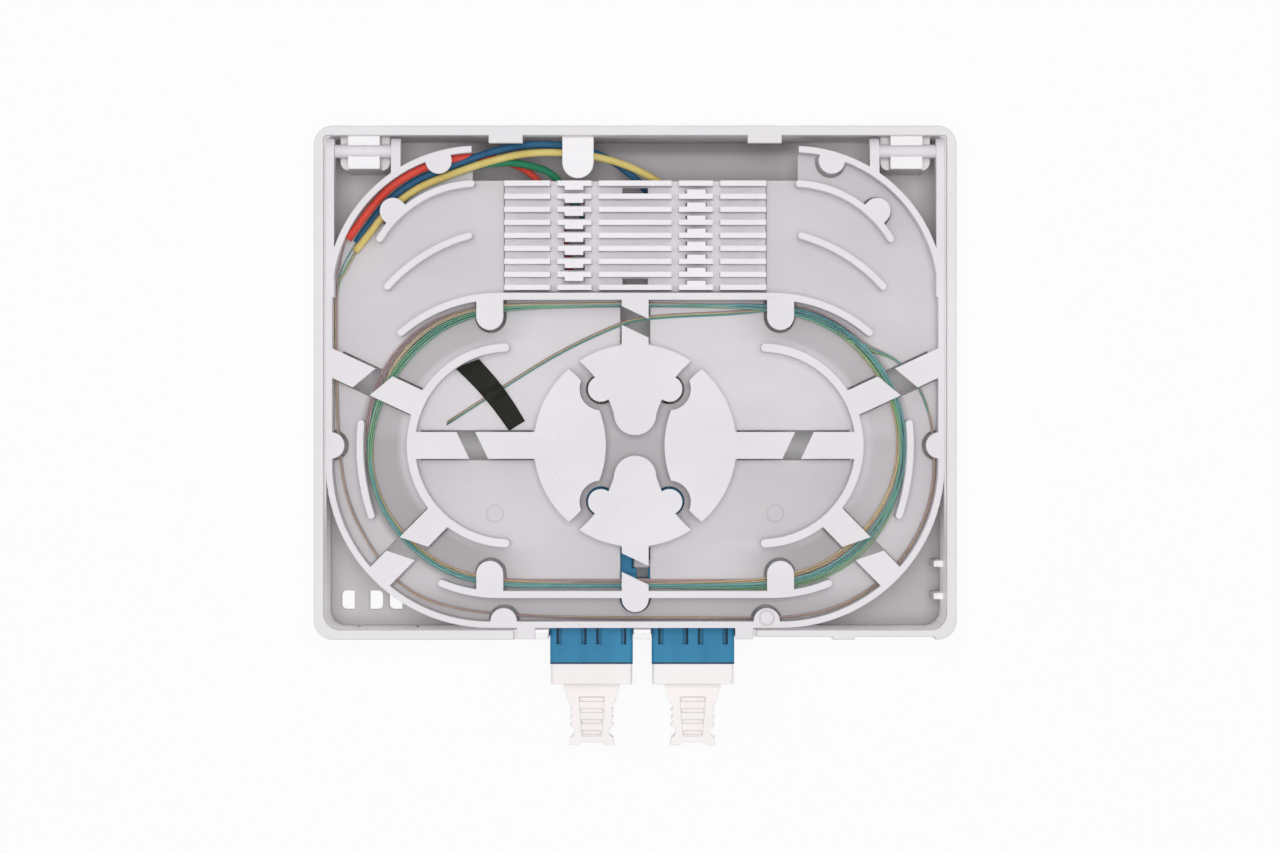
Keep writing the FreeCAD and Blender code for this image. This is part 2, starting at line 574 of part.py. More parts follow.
def base_details(base):
    """Catches, tongue, screw rings, cable ribs, floor holes, knock-out panels and the arched tear groove."""
    catches = sketch(base, "catches", lift="base_height - catch_tall")
    rectangle(catches, "catch_offset - catch_long / 2", "inner_y - catch_deep",
              "catch_offset + catch_long / 2", "inner_y + 0.3", twin=True)
    pad(base, catches, "catch_tall")
    tongue = sketch(base, "tongue", lift="base_height - tongue_drop")
    round_tab(tongue, "tongue_x", "inner_y + 0.3", "270", "tongue_reach + 0.3", "tongue_wide / 2")
    pad(base, tongue, "tongue_thick")
    rings = sketch(base, "screw_rings", lift="base_floor")
    circle(rings, "screw_pitch / 2", "0", "screw_boss / 2", twin=True)
    pad(base, rings, "screw_boss_rise")
    ribs = sketch(base, "side_ribs", lift="base_floor")
    for sign in ("-", "+"):
        place = f"{sign} side_rib_gap / 2 - side_rib_y"
        rectangle(ribs, "inner_x - side_rib_reach", f"{place} - side_rib_thick / 2",
                  "inner_x + 0.3", f"{place} + side_rib_thick / 2")
    pad(base, ribs, "side_rib_rise")
    holes = sketch(base, "floor_holes")
    circle(holes, "screw_pitch / 2", "0", "screw_hole / 2", twin=True)
    low, high, corner = "-tie_y - tie_slot / 2", "-tie_y + tie_slot / 2", "tie_slot / 4"
    for place in ("-tie_x", "-tie_x + tie_pitch"):
        for sign, left in (("-", True), ("+", False)):
            near = f"{place} {sign} tie_bar / 2"
            bend = f"{place} {sign} (tie_bar / 2 + tie_hole - {corner})"
            far = f"{place} {sign} (tie_bar / 2 + tie_hole)"
            corners = [(near, high), (bend, high), (far, f"{high} - {corner}"), (far, f"{low} + {corner}"),
                       (bend, low), (near, low)]
            arcs = {1: (bend, f"{high} - {corner}", left), 3: (bend, f"{low} + {corner}", left)}
            outline(holes, corners, arcs)
    pocket(base, holes, "base_floor + screw_boss_rise + 1", along_normal=True)
    panels = sketch(base, "panels", "XZ_Plane", "base_y")
    for shift in ("0", "(panel_long + panel_gap)"):
        rectangle(panels, f"base_x - panel_margin - panel_long - {shift}", "base_floor",
                  f"base_x - panel_margin - {shift}", "base_height + 1")
    pocket(base, panels, "panel_recess")
    arch = sketch(base, "tear_arch", "XZ_Plane", "inner_y")
    left, right = "tear_inset - base_x", "tear_inset + tear_span - base_x"
    crown, middle = "base_floor + tear_rise - tear_span / 2", "tear_inset + tear_span / 2 - base_x"
    corners = [(left, "base_floor"), (f"{left} + tear_line", "base_floor"), (f"{left} + tear_line", crown),
               (f"{right} - tear_line", crown), (f"{right} - tear_line", "base_floor"), (right, "base_floor"),
               (right, crown), (left, crown)]
    outline(arch, corners, {2: (middle, crown, False), 6: (middle, crown, True)})
    pocket(base, arch, "tear_depth", along_normal=True)


def wall_line(inset):
    """The tray's rounded form with its open top: eight corners, from the upper left to the upper right."""
    side, low = f"(tray_x - {inset})", f"low_cy - tray_low_radius + {inset}"
    high = f"top_cy + sqrt((tray_top_radius - {inset}) ^ 2 - (notch_half - top_cx) ^ 2)"
    return [("-notch_half", high), (f"-{side}", "top_cy"), (f"-{side}", "low_cy"), ("-low_cx", low),
            ("low_cx", low), (side, "low_cy"), (side, "top_cy"), ("notch_half", high)]


def tray_floor_and_wall(tray):
    """The tray's floor, its outer wall and the ledge that carries the comb."""
    arcs = {0: ("-top_cx", "top_cy", True), 2: ("-low_cx", "low_cy", True),
            4: ("low_cx", "low_cy", True), 6: ("top_cx", "top_cy", True)}
    floor = sketch(tray, "floor", lift="under_z")
    outline(floor, wall_line("0") + [("notch_half", "edge_y"), ("-notch_half", "edge_y")], arcs)
    pad(tray, floor, "tray_floor")
    wall = sketch(tray, "wall", lift="floor_z")
    back = {8: ("top_cx", "top_cy", False), 10: ("low_cx", "low_cy", False),
            12: ("-low_cx", "low_cy", False), 14: ("-top_cx", "top_cy", False)}
    outline(wall, wall_line("0") + list(reversed(wall_line("tray_wall"))), {**arcs, **back})
    pad(tray, wall, "tray_depth")
    window = sketch(tray, "comb_window", lift="floor_z")
    rectangle(window, "-window_x", "comb_low - comb_gap", "window_x", "edge_y + 1")
    pocket(tray, window, "tray_floor")
    ledge = sketch(tray, "comb_ledge", lift="under_z - comb_ledge")
    rectangle(ledge, "-window_x - tray_wall", "comb_low - comb_gap - race_wall",
              "window_x + tray_wall", "edge_y")
    inner_x, inner_low, inner_high = "(window_x - comb_seat)", "comb_low + comb_seat", "edge_y - comb_seat"
    notch_low, notch_high = "comb_low + fin_thick", "edge_y - fin_thick"
    corners = [(f"-{inner_x}", inner_low), ("-comb_peep", inner_low), ("-comb_peep", notch_low),
               ("comb_peep", notch_low), ("comb_peep", inner_low), (inner_x, inner_low), (inner_x, inner_high),
               ("comb_peep", inner_high), ("comb_peep", notch_high), ("-comb_peep", notch_high),
               ("-comb_peep", inner_high), (f"-{inner_x}", inner_high)]
    outline(ledge, corners)
    pad(tray, ledge, "comb_ledge")


def tray_guides(tray):
    """The fibre guides that stand on the floor."""
    guides = sketch(tray, "guides", lift="floor_z")
    curved_wall(guides, "-top_cx", "top_cy", "first_guide_radius", "guide_wall", 93, 149, twin=True)
    curved_wall(guides, "second_guide_inset - tray_x", "race_y + second_guide_rise", "second_guide_radius",
                "guide_wall", 105.5, 138.2, twin=True)
    curved_wall(guides, "side_guide_radius + side_guide_inset - tray_x", "race_y", "side_guide_radius",
                "guide_wall", 174.3, 198.4, twin=True)
    curved_wall(guides, "-ring_x", "race_y", "ring_mid", "ring_wall", 92, 268, twin=True)
    for turn, sign in (("race_top_turn", "+"), ("race_low_turn", "-")):
        up = sign == "+"
        right, left = (f"90 - {turn}", f"90 + {turn}") if up else (f"270 + {turn}", f"270 - {turn}")
        face, back = f"race_y {sign} race_r", f"race_y {sign} race_in"
        corners = [polar("race_x", "race_y", "race_r", right), ("race_x", face), ("-race_x", face),
                   polar("-race_x", "race_y", "race_r", left), polar("-race_x", "race_y", "race_in", left),
                   ("-race_x", back), ("race_x", back), polar("race_x", "race_y", "race_in", right)]
        arcs = {0: ("race_x", "race_y", up), 2: ("-race_x", "race_y", up),
                3: (*polar("-race_x", "race_y", "race_mid", left), up), 4: ("-race_x", "race_y", not up),
                6: ("race_x", "race_y", not up), 7: (*polar("race_x", "race_y", "race_mid", right), up)}
        outline(guides, corners, arcs)
    pad(tray, guides, "tray_depth")


def tray_holes(tray):
    """Openings in the floor under the fingers, tabs and ears."""
    holes = sketch(tray, "holes", lift="floor_z")
    bar(holes, "-ring_x", "upper_angle", "ring_radius + 0.3", "upper_far - 1", "0", "0", "slot_room",
        twin=True)
    bar(holes, "-ring_x", "lower_angle", "ring_radius + 0.3", "lower_far - 0.8", "0", "0", "slot_room",
        twin=True)
    bar(holes, "0", "180", "hub_radius + 0.2", "side_far - ring_wall", "0", "0", "slot_room", twin=True)
    bar(holes, "0", "90", "hub_radius + 0.2", "race_in - 0.1", "0", "0", "slot_room")
    bar(holes, "0", "270", "hub_radius + 0.2", "race_in - 0.1", "0", "0", "slot_room")
    wide = "finger_wide / 2 + hole_room"
    round_tab(holes, "0", "race_y - race_r", "270", "pill_reach + hole_room", wide)
    round_tab(holes, "-tab_offset", "race_y + race_mid", "270", "tab_reach + hole_room", wide, twin=True)
    round_tab(holes, "-tab_offset", "race_y - race_mid", "90", "tab_reach + hole_room", wide, twin=True)
    for x, y, angle, reach in bump_places():
        round_tab(holes, x, y, angle, f"{reach} + hole_room", "bump_radius + hole_room", twin=True)
    for sign in ("+", "-"):
        circle(holes, "ear_x", f"race_y {sign} ear_y", "ear_radius + hole_room", twin=True)
    pocket(tray, holes, "tray_floor")


def bump_places():
    """Root, direction and reach of the half-round tabs on the left half of the tray."""
    upper = polar("-top_cx", "top_cy", "upper_bump_r", "upper_bump_angle")
    guide = polar("-top_cx", "top_cy", "first_guide_radius", "guide_tab_angle")
    return [(*upper, "upper_bump_angle + 180", "bump_reach + 0.6"),
            (*guide, "guide_tab_angle", "guide_tab_reach"),
            ("bump_x", "race_y", "0", "bump_reach"), ("-bump_offset", "bump_y", "90", "bump_reach + 0.2")]


def lens_corner(disc, ring):
    """Where a circle about the disc's centre meets one about the half ring's centre: distance and rise."""
    x = f"((({disc}) ^ 2 - ({ring}) ^ 2 + ring_x ^ 2) / (2 * ring_x))"
    return x, f"sqrt(({disc}) ^ 2 - {x} ^ 2)"


def side_lobes(drawn, disc, ring):
    """The lens shared by the disc and a circle about the half ring's centre, on both sides."""
    x, rise = lens_corner(disc, ring)
    corners = [(f"-{x}", f"race_y + {rise}"), (f"-{x}", f"race_y - {rise}")]
    outline(drawn, corners, {0: ("0", "race_y", True), 1: ("-ring_x", "race_y", True)}, twin=True)


def end_lobes(drawn, disc, ring, neck):
    """The disc's upper and lower parts outside the circles about the half rings, each with a round neck."""
    x, rise = lens_corner(disc, ring)
    waist = f"(ring_x - sqrt(({ring}) ^ 2 - ({neck}) ^ 2))"
    for sign in ("+", "-"):
        up = sign == "+"
        high, low = f"race_y {sign} {rise}", f"race_y {sign} ({neck})"
        corners = [(f"-{x}", high), (f"-{waist}", low), (waist, low), (x, high)]
        arcs = {0: ("-ring_x", "race_y", not up), 1: ("0", low, up),
                2: ("ring_x", "race_y", not up), 3: ("0", "race_y", up)}
        outline(drawn, corners, arcs)


def tray_hub(tray):
    """The centre disc: four hollow lobes with curved channels between them."""
    sides = sketch(tray, "side_lobes", lift="floor_z")
    side_lobes(sides, "hub_radius", "lobe_radius")
    pad(tray, sides, "tray_depth")
    rooms = sketch(tray, "ear_rooms", lift="tray_z")
    for sign in ("+", "-"):
        circle(rooms, "ear_x", f"race_y {sign} ear_y", "ear_radius + ear_room", twin=True)
    pocket(tray, rooms, "tray_depth")
    ends = sketch(tray, "end_lobes", lift="under_z")
    end_lobes(ends, "hub_radius", "lobe_radius + hub_channel", "lobe_neck")
    pad(tray, ends, "tray_depth + tray_floor")
    hollows = sketch(tray, "hollows", lift="under_z")
    side_lobes(hollows, "hub_radius - lobe_shell", "lobe_radius - 2.6 * lobe_shell")
    end_lobes(hollows, "hub_radius - lobe_shell", "lobe_radius + hub_channel + lobe_shell",
              "lobe_neck + lobe_shell")
    pocket(tray, hollows, "tray_depth + tray_floor - lobe_shell", along_normal=True)


def tray_fingers(tray):
    """The fingers, tabs and ears that hold the fibres down, level with the walls' tops."""
    fingers = sketch(tray, "fingers", lift="finger_z")
    lean, slant, back = "(-upper_lean)", "finger_slant", "(-finger_slant)"
    bar(fingers, "-ring_x", "upper_angle", "ring_mid", "upper_split - half_gap", "0", slant, twin=True)
    bar(fingers, "-ring_x", "upper_angle", "upper_split + half_gap", "upper_far", slant, lean, twin=True)
    bar(fingers, "-ring_x", "lower_angle", "ring_mid", "lower_split - half_gap", "0", back, twin=True)
    bar(fingers, "-ring_x", "lower_angle", "lower_split + half_gap", "lower_far", back, "0", twin=True)
    bar(fingers, "0", "180", "stub_from", "side_split - half_gap", "0", back, twin=True)
    bar(fingers, "0", "180", "side_split + half_gap", "side_far", back, "0", twin=True)
    bar(fingers, "0", "90", "stub_from", "end_split - half_gap", "0", slant)
    bar(fingers, "0", "90", "end_split + half_gap", "race_mid", slant, "0")
    bar(fingers, "0", "270", "stub_from", "end_split - half_gap", "0", slant)
    half, bend = "finger_wide / 2", "race_y - pill_tip + finger_wide / 2"
    near = "race_y - end_split - half_gap"
    corners = [(f"-{half}", f"{near} + {slant}"), (f"-{half}", bend), (half, bend),
               (half, f"{near} - {slant}")]
    outline(fingers, corners, {1: ("0", bend, True)})
    round_tab(fingers, "-tab_offset", "race_y + race_mid", "270", "tab_reach", half, twin=True)
    round_tab(fingers, "-tab_offset", "race_y - race_mid", "90", "tab_reach", half, twin=True)
    for x, y, angle, reach in bump_places():
        round_tab(fingers, x, y, angle, reach, "bump_radius", twin=True)
    for sign in ("+", "-"):
        circle(fingers, "ear_x", f"race_y {sign} ear_y", "ear_radius", twin=True)
    pad(tray, fingers, "finger_thick")
    lugs = sketch(tray, "lugs", lift="sill_z + lug_gap")
    rectangle(lugs, "lug_offset - lug_wide / 2", "lug_margin - base_y", "lug_offset + lug_wide / 2",
              "tray_wall / 2 - tray_low", twin=True)
    pad(tray, lugs, "tray_z - sill_z - lug_gap")


def tray_hinge(tray):
    """An arm, a post and the pin between them at each upper corner."""
    made = []
    for name, near, far, root in (("arm", "tray_x - arm_thick", "arm_thick", "top_cy"),
                                  ("post", "post_x - post_thick", "post_thick", "hinge_y - post_reach")):
        side = sketch(tray, name, "YZ_Plane", near)
        corners = [(root, "hinge_z - eye_radius"), ("hinge_y", "hinge_z - eye_radius"),
                   ("hinge_y", "hinge_z + eye_radius"), (root, "hinge_z + eye_radius")]
        outline(side, corners, {1: ("hinge_y", "hinge_z", True)})
        made.append(pad(tray, side, far))
    pin = sketch(tray, "pin", "YZ_Plane", "post_x - post_thick / 2")
    circle(pin, "hinge_y", "hinge_z", "pin_radius")
    made.append(pad(tray, pin, "tray_x - arm_thick / 2 - post_x + post_thick / 2"))
    mirror(tray, made, "hinge_twin")


def make_comb():
    """The splice holder: a plate with rows of fins and openings under their hooks.
    The left hooks point down the comb, the right ones up."""
    comb = body("splice_holder")
    plate = sketch(comb, "plate", "XZ_Plane", "-comb_top")
    half, ramp = "comb_long / 2", "comb_long / 2 - comb_ramp"
    corners = [(f"-{half}", "under_z"), (half, "under_z"), (half, "floor_z"), (ramp, "under_z + comb_plate"),
               (f"-({ramp})", "under_z + comb_plate"), (f"-{half}", "floor_z")]
    outline(plate, corners)
    pad(comb, plate, "comb_tall")
    fins = sketch(comb, "fins", lift="under_z + comb_plate / 2")
    high, low = "comb_top - comb_edge", "comb_top - comb_edge - fin_thick"
    rectangle(fins, "fin_end_from", low, half, high, twin=True)
    rectangle(fins, "fin_hook_from", low, "fin_hook_to", high, twin=True)
    rectangle(fins, "-fin_mid_half", low, "fin_mid_half", high)
    fin = pad(comb, fins, "fin_tall - comb_plate / 2")
    rows(comb, [fin], "fin_rows", "fin_count", "(fin_count - 1) * fin_pitch")
    hooks = sketch(comb, "hooks", lift="under_z + fin_tall - hook_thick")
    next_high, next_low = f"{high} - fin_pitch", f"{low} - fin_pitch"
    rectangle(hooks, "-hook_to", f"{low} - hook_reach", "-hook_from", high)
    rectangle(hooks, "hook_from", next_low, "hook_to", f"{next_high} + hook_reach")
    hook = pad(comb, hooks, "hook_thick")
    rows(comb, [hook], "hook_rows", "fin_count - 1", "(fin_count - 2) * fin_pitch")
    openings = sketch(comb, "openings", lift="under_z + comb_plate")
    near, far = "hook_from - hook_room", "hook_to + hook_room"
    rectangle(openings, f"-({far})", f"{low} - hook_reach - hook_room", f"-({near})", f"{low} - hook_room / 2")
    rectangle(openings, near, f"{next_high} + hook_room / 2", far, f"{next_high} + hook_reach + hook_room")
    opening = pocket(comb, openings, "comb_plate")
    rows(comb, [opening], "opening_rows", "fin_count - 1", "(fin_count - 2) * fin_pitch")
    peeps = sketch(comb, "peeps", lift="under_z + comb_plate")
    for top in (f"{low} - 0.1", f"{low} - 0.1 - (fin_count - 2) * fin_pitch"):
        rectangle(peeps, "-comb_peep", f"{top} - fin_pitch + fin_thick + 0.2", "comb_peep", top)
    pocket(comb, peeps, "comb_plate")


def adapter_half(name, x, front):
    """Half of a twin-port adapter: shell, ports with keyways, latch windows and sleeve holders."""
    half = body(name, x)
    start, face = ("-middle_y", "-adapter_y") if front else ("-rear_y", "-rear_y")
    shell = sketch(half, "shell", "XZ_Plane", start)
    rounded(shell, "-adapter_wide / 2", "base_floor", "adapter_wide / 2", "adapter_z", "adapter_round")
    pad(half, shell, "adapter_long / 2")
    collar = sketch(half, "collar", "XZ_Plane", "-middle_y")
    rectangle(collar, "-adapter_wide / 2 - collar_reach", "base_floor",
              "adapter_wide / 2 + collar_reach", "adapter_z")
    pad(half, collar, "collar_long / 2", against_normal=not front)
    ports = sketch(half, "ports", "XZ_Plane", face)
    left, right = "port_x - port_size / 2", "port_x + port_size / 2"
    low, high, top = "port_z - port_size / 2", "port_z + port_size / 2", "port_z + port_size / 2 + key_tall"
    key_left, key_right = "port_x - key_wide / 2", "port_x + key_wide / 2"
    corners = [(left, low), (right, low), (right, high), (key_right, high), (key_right, top), (key_left, top),
               (key_left, high), (left, high)]
    outline(ports, corners, twin=True)
    pocket(half, ports, "adapter_long / 2 - web_half", along_normal=not front)
    windows = sketch(half, "windows", lift="adapter_z")
    end, sign = ("adapter_y", "+") if front else ("rear_y", "-")
    for place in ("port_x - window_offset", "port_x + window_offset"):
        rectangle(windows, f"{place} - window_wide / 2", f"{end} {sign} window_from",
                  f"{place} + window_wide / 2", f"{end} {sign} (window_from + window_long)", twin=True)
    pocket(half, windows, "window_deep")
    tubes = sketch(half, "tubes", "XZ_Plane", "-middle_y")
    circle(tubes, "port_x", "port_z", "tube_radius", twin=True)
    pad(half, tubes, "web_half + tube_long", against_normal=not front)
    bores = sketch(half, "bores", "XZ_Plane", "-middle_y")
    circle(bores, "port_x", "port_z", "sleeve_radius + sleeve_play", twin=True)
    pocket(half, bores, "sleeve_long / 2 + sleeve_play", along_normal=front)
    lips = sketch(half, "lips", "XZ_Plane", "-middle_y")
    circle(lips, "port_x", "port_z", "lip_radius", twin=True)
    pocket(half, lips, "web_half + tube_long + 0.1", along_normal=front)


def make_sleeve(name, x):
    """A slit ceramic alignment sleeve."""
    sleeve = body(name, x, "port_z")
    tube = sketch(sleeve, "tube", "XZ_Plane", "-middle_y - sleeve_long / 2")
    circle(tube, "0", "0", "sleeve_radius")
    circle(tube, "0", "0", "sleeve_radius - sleeve_wall")
    pad(sleeve, tube, "sleeve_long")
    slit = sketch(sleeve, "slit", "XZ_Plane", "-middle_y - sleeve_long / 2")
    rectangle(slit, "-sleeve_slit / 2", "0", "sleeve_slit / 2", "sleeve_radius + 0.1")
    pocket(sleeve, slit, "sleeve_long", along_normal=True)


def make_plug(colour, x):
    """A small plug on a pigtail: housing with its latch, ferrule and boot."""
    housing = body(f"plug_{colour}_housing", x, "port_z")
    block = sketch(housing, "block", "XZ_Plane", "-boot_y")
    rectangle(block, "-plug_size / 2", "-plug_size / 2", "plug_size / 2", "plug_size / 2")
    pad(housing, block, "plug_long")
    latch = sketch(housing, "latch", "YZ_Plane", "-latch_wide / 2")
    foot, tip, top = "plug_y + latch_foot", "plug_y + latch_tip", "plug_size / 2"
    corners = [(foot, f"{top} - 0.3"), (f"{foot} + 2 * latch_thick", f"{top} - 0.3"),
               (f"{foot} + 2 * latch_thick", top), (tip, f"{top} + latch_rise - latch_thick"),
               (tip, f"{top} + latch_rise"), (foot, f"{top} + 0.2")]
    outline(latch, corners)
    pad(housing, latch, "latch_wide")
    recess = sketch(housing, "recess", "XZ_Plane", "-plug_y")
    circle(recess, "0", "0", "plug_recess")
    pocket(housing, recess, "plug_recess_deep")
    bore = sketch(housing, "bore", "XZ_Plane", "-plug_y")
    circle(bore, "0", "0", "ferrule_radius + ferrule_play")
    pocket(housing, bore, "ferrule_long - (plug_y - middle_y)")
    ferrule = body(f"plug_{colour}_ferrule", x, "port_z")
    rod = sketch(ferrule, "rod", "XZ_Plane", "-middle_y - ferrule_long")
    circle(rod, "0", "0", "ferrule_radius")
    pad(ferrule, rod, "ferrule_long - 0.02")
    boot = body(f"plug_{colour}_boot", x, "port_z")
    cone = sketch(boot, "cone")
    outline(cone, [("boot_bore", "boot_y"), ("boot_radius", "boot_y"),
                   ("boot_radius", "boot_y + boot_long / 5"), ("boot_tip", "boot_y + boot_long"),
                   ("boot_bore", "boot_y + boot_long")])
    turned = boot.newObject("PartDesign::Revolution", f"{boot.Name}_turned")
    turned.Profile = cone
    turned.ReferenceAxis = (origin_part(boot, "Y_Axis"), [""])
    turned.Angle = 360
    boot.Tip = turned


def make_cap(name, x):
    """A twin dust cap: plate, two plugs and a ribbed pull tail."""
    cap = body(name, x)
    plate = sketch(cap, "plate", "XZ_Plane", "-adapter_y")
    half = "adapter_wide / 2 - cap_margin"
    rounded(plate, f"-({half})", "base_floor + cap_margin", half, "adapter_z - cap_margin", "adapter_round")
    pad(cap, plate, "cap_plate")
    tail = sketch(cap, "tail", lift="port_z - cap_tail_thick / 2")
    plate_y, neck_y = "adapter_y - cap_plate", "adapter_y - cap_plate - cap_neck"
    end_y = "adapter_y - cap_plate - cap_neck - cap_tail_long"
    side = "cap_tail_wide / 2"
    hollows = [("cap_scallop", "cap_scallop_deep", f"cap_scallop_from + {step} * cap_scallop_pitch")
               for step in (0, 1, 2)]
    hollows.append(("cap_waist", "cap_waist_deep", "cap_waist_from"))
    right = [("cap_neck_wide / 2", f"{plate_y} + 0.3"), ("cap_neck_end / 2", neck_y)]
    for radius, deep, down in hollows:
        chord = f"sqrt({radius} ^ 2 - ({radius} - {deep}) ^ 2)"
        right += [(side, f"{neck_y} - ({down}) + {chord}"), (side, f"{neck_y} - ({down}) - {chord}")]
    right += [(f"{side} + 0.15", end_y), ("cap_foot_half", end_y),
              ("cap_foot_half - cap_foot_rise", f"{end_y} + cap_foot_rise")]
    left = [(flip(px), py) for px, py in reversed(right)]
    arcs = {}
    for index, (radius, deep, down) in enumerate(hollows):
        first, middle = 2 + 2 * index, f"{neck_y} - ({down})"
        out = f"{side} + {radius} - {deep}"
        arcs[first] = (out, middle, True)
        arcs[2 * len(right) - 2 - first] = (flip(out), middle, True)
    outline(tail, right + left, arcs)
    pad(cap, tail, "cap_tail_thick")
    panel = sketch(cap, "panel", lift="port_z + cap_tail_thick / 2")
    panel_y = f"{neck_y} + cap_panel_rise"
    panel_end = f"{panel_y} - cap_panel_long"
    corners = [("-cap_panel_end / 2", panel_end), ("cap_panel_end / 2", panel_end),
               ("cap_panel_wide / 2", panel_y), ("-cap_panel_wide / 2", panel_y)]
    outline(panel, corners)
    pocket(cap, panel, "cap_panel_deep")
    grips = sketch(cap, "grips", lift="port_z + cap_tail_thick / 2")
    taper = "(cap_panel_wide - cap_panel_end) / cap_panel_long"
    for step in range(int(number("cap_pocket_count"))):
        down = f"({step} * cap_pocket_pitch + cap_pocket_margin)"
        wide = f"((cap_panel_wide - ({down} + cap_pocket_long) * {taper}) / 2 - cap_pocket_margin)"
        rectangle(grips, f"-{wide}", f"{panel_y} - {down} - cap_pocket_long", wide, f"{panel_y} - {down}")
    pocket(cap, grips, "cap_pocket_deep")
    plugs = sketch(cap, "plugs", "XZ_Plane", "-adapter_y")
    rectangle(plugs, "port_x - cap_plug / 2", "port_z - cap_plug / 2", "port_x + cap_plug / 2",
              "port_z + cap_plug / 2", twin=True)
    pad(cap, plugs, "cap_plug_long", against_normal=True)


def make_fibres():
    """The bare fibres as plain bundles: the coil, the feed in the outer channel and the taped ends."""
    coil = body("fibre_coil")
    ring = sketch(coil, "ring", lift="floor_z")
    for radius in ("(coil_radius + coil_wide / 2)", "(coil_radius - coil_wide / 2)"):
        high, low = f"race_y + {radius}", f"race_y - {radius}"
        corners = [("-coil_half", high), ("-coil_half", low), ("coil_half", low), ("coil_half", high)]
        outline(ring, corners, {0: ("-coil_half", "race_y", True), 2: ("coil_half", "race_y", True)})
    pad(coil, ring, "coil_tall")
    feed = body("fibre_feed")
    run = sketch(feed, "run", lift="floor_z")
    sides = []
    for shift in ("feed_inset - feed_wide / 2", "feed_inset + feed_wide / 2"):
        x, low = f"(tray_x - ({shift}))", f"{shift} - tray_low"
        sides.append([(f"-{x}", "top_cy + 2"), (f"-{x}", "low_cy"), ("-low_cx", low), ("low_cx", low),
                      (x, "low_cy"), (x, "race_y + 5")])
    arcs = {1: ("-low_cx", "low_cy", True), 3: ("low_cx", "low_cy", True),
            7: ("low_cx", "low_cy", False), 9: ("-low_cx", "low_cy", False)}
    outline(run, sides[0] + list(reversed(sides[1])), arcs)
    pad(feed, run, "fibre_tall")
    tail = body("fibre_tail")
    line = sketch(tail, "line", lift="floor_z")
    half = "tail_wide / 2"
    top = [("coil_half * 0.9", "race_y + coil_radius - coil_wide / 2 - 0.5"),
           ("1", "race_y + end_split + 0.3"), ("-1", "race_y + end_split - 0.4"),
           ("-ring_x - 9.8", "race_y + 3.5")]
    outline(line, [(x, f"{y} + {half}") for x, y in top] + [(x, f"{y} - {half}") for x, y in reversed(top)])
    pad(tail, line, "fibre_tall")
    tape = body("tape_strip", "-ring_x - 2.78", "floor_z")
    tape.setExpression("Placement.Base.y", full("race_y + 7.72"))
    tape.Placement.Rotation = FreeCAD.Rotation(FreeCAD.Vector(0, 0, 1), -50.5)
    strip = sketch(tape, "strip", "XZ_Plane", "-tape_wide / 2")
    lower = [("-tape_long / 2", "0"), ("-1.6", "0"), ("-0.6", "tape_hump"), ("1.4", "tape_hump"),
             ("2.4", "0"), ("tape_long / 2", "0")]
    upper = [(x, f"{z} + tape_thick") for x, z in reversed(lower)]
    outline(strip, lower + upper)
    pad(tape, strip, "tape_wide")


def corner_run(radius, angles, heights):
    """Points of a pigtail along the tray's upper left corner, at angles in degrees."""
    cx, cy, points = -number("top_cx"), number("top_cy"), []
    for angle, height in zip(angles, heights):
        turn = math.radians(angle)
        points.append((cx + radius * math.cos(turn), cy + radius * math.sin(turn), number("floor_z") + height))
    return points


def tube(points, radius):
    """A plain round cord through points, with an arc at every bend, as a six-sided solid."""
    nodes = [FreeCAD.Vector(*point) for point in points]
    edges, start, tightest = [], nodes[0], 1000.0
    for before, here, after in zip(nodes, nodes[1:], nodes[2:]):
        back, ahead = (before - here).normalize(), (after - here).normalize()
        half = back.getAngle(ahead) / 2
        reach = 0.45 * min(before.distanceToPoint(here), here.distanceToPoint(after))
        tightest = min(tightest, reach * math.tan(half))
        first, last = here + back * reach, here + ahead * reach
        centre = here + (back + ahead).normalize() * (reach / math.cos(half))
        middle = centre + (here - centre).normalize() * (reach * math.tan(half))
        edges += [Part.LineSegment(start, first).toShape(), Part.Arc(first, middle, last).toShape()]
        start = last
    edges.append(Part.LineSegment(start, nodes[-1]).toShape())
    path = Part.Wire(edges)
    along = (nodes[1] - nodes[0]).normalize()
    across = along.cross(FreeCAD.Vector(0, 0, 1)).normalize()
    other = along.cross(across)
    ring = []
    for step in range(7):
        turn = math.radians(60 * step)
        ring.append(nodes[0] + across * (radius * math.cos(turn)) + other * (radius * math.sin(turn)))
    section = Part.makePolygon(ring)
    solid = path.makePipeShell([section], True, False)
    expected = path.Length * 1.5 * math.sqrt(3) * radius ** 2
    print(f"cord: length {path.Length:.1f}, bend radius {tightest:.1f}, volume {solid.Volume / expected:.3f}")
    return solid


def make_buffer(colour, points):
    """A pigtail tube, cut where it passes from the base to the tray."""
    whole = tube(points, number("buffer_radius"))
    split = -number("buffer_split")
    room = 200.0
    base_side = Part.makeBox(room, room, room, FreeCAD.Vector(split, -room / 2, -room / 2))
    tray_side = Part.makeBox(room, room, room, FreeCAD.Vector(split - room, -room / 2, -room / 2))
    for end, side in (("base", base_side), ("tray", tray_side)):
        piece = doc.addObject("Part::Feature", f"buffer_{colour}_{end}")
        piece.Shape = whole.common(side).Solids[0]


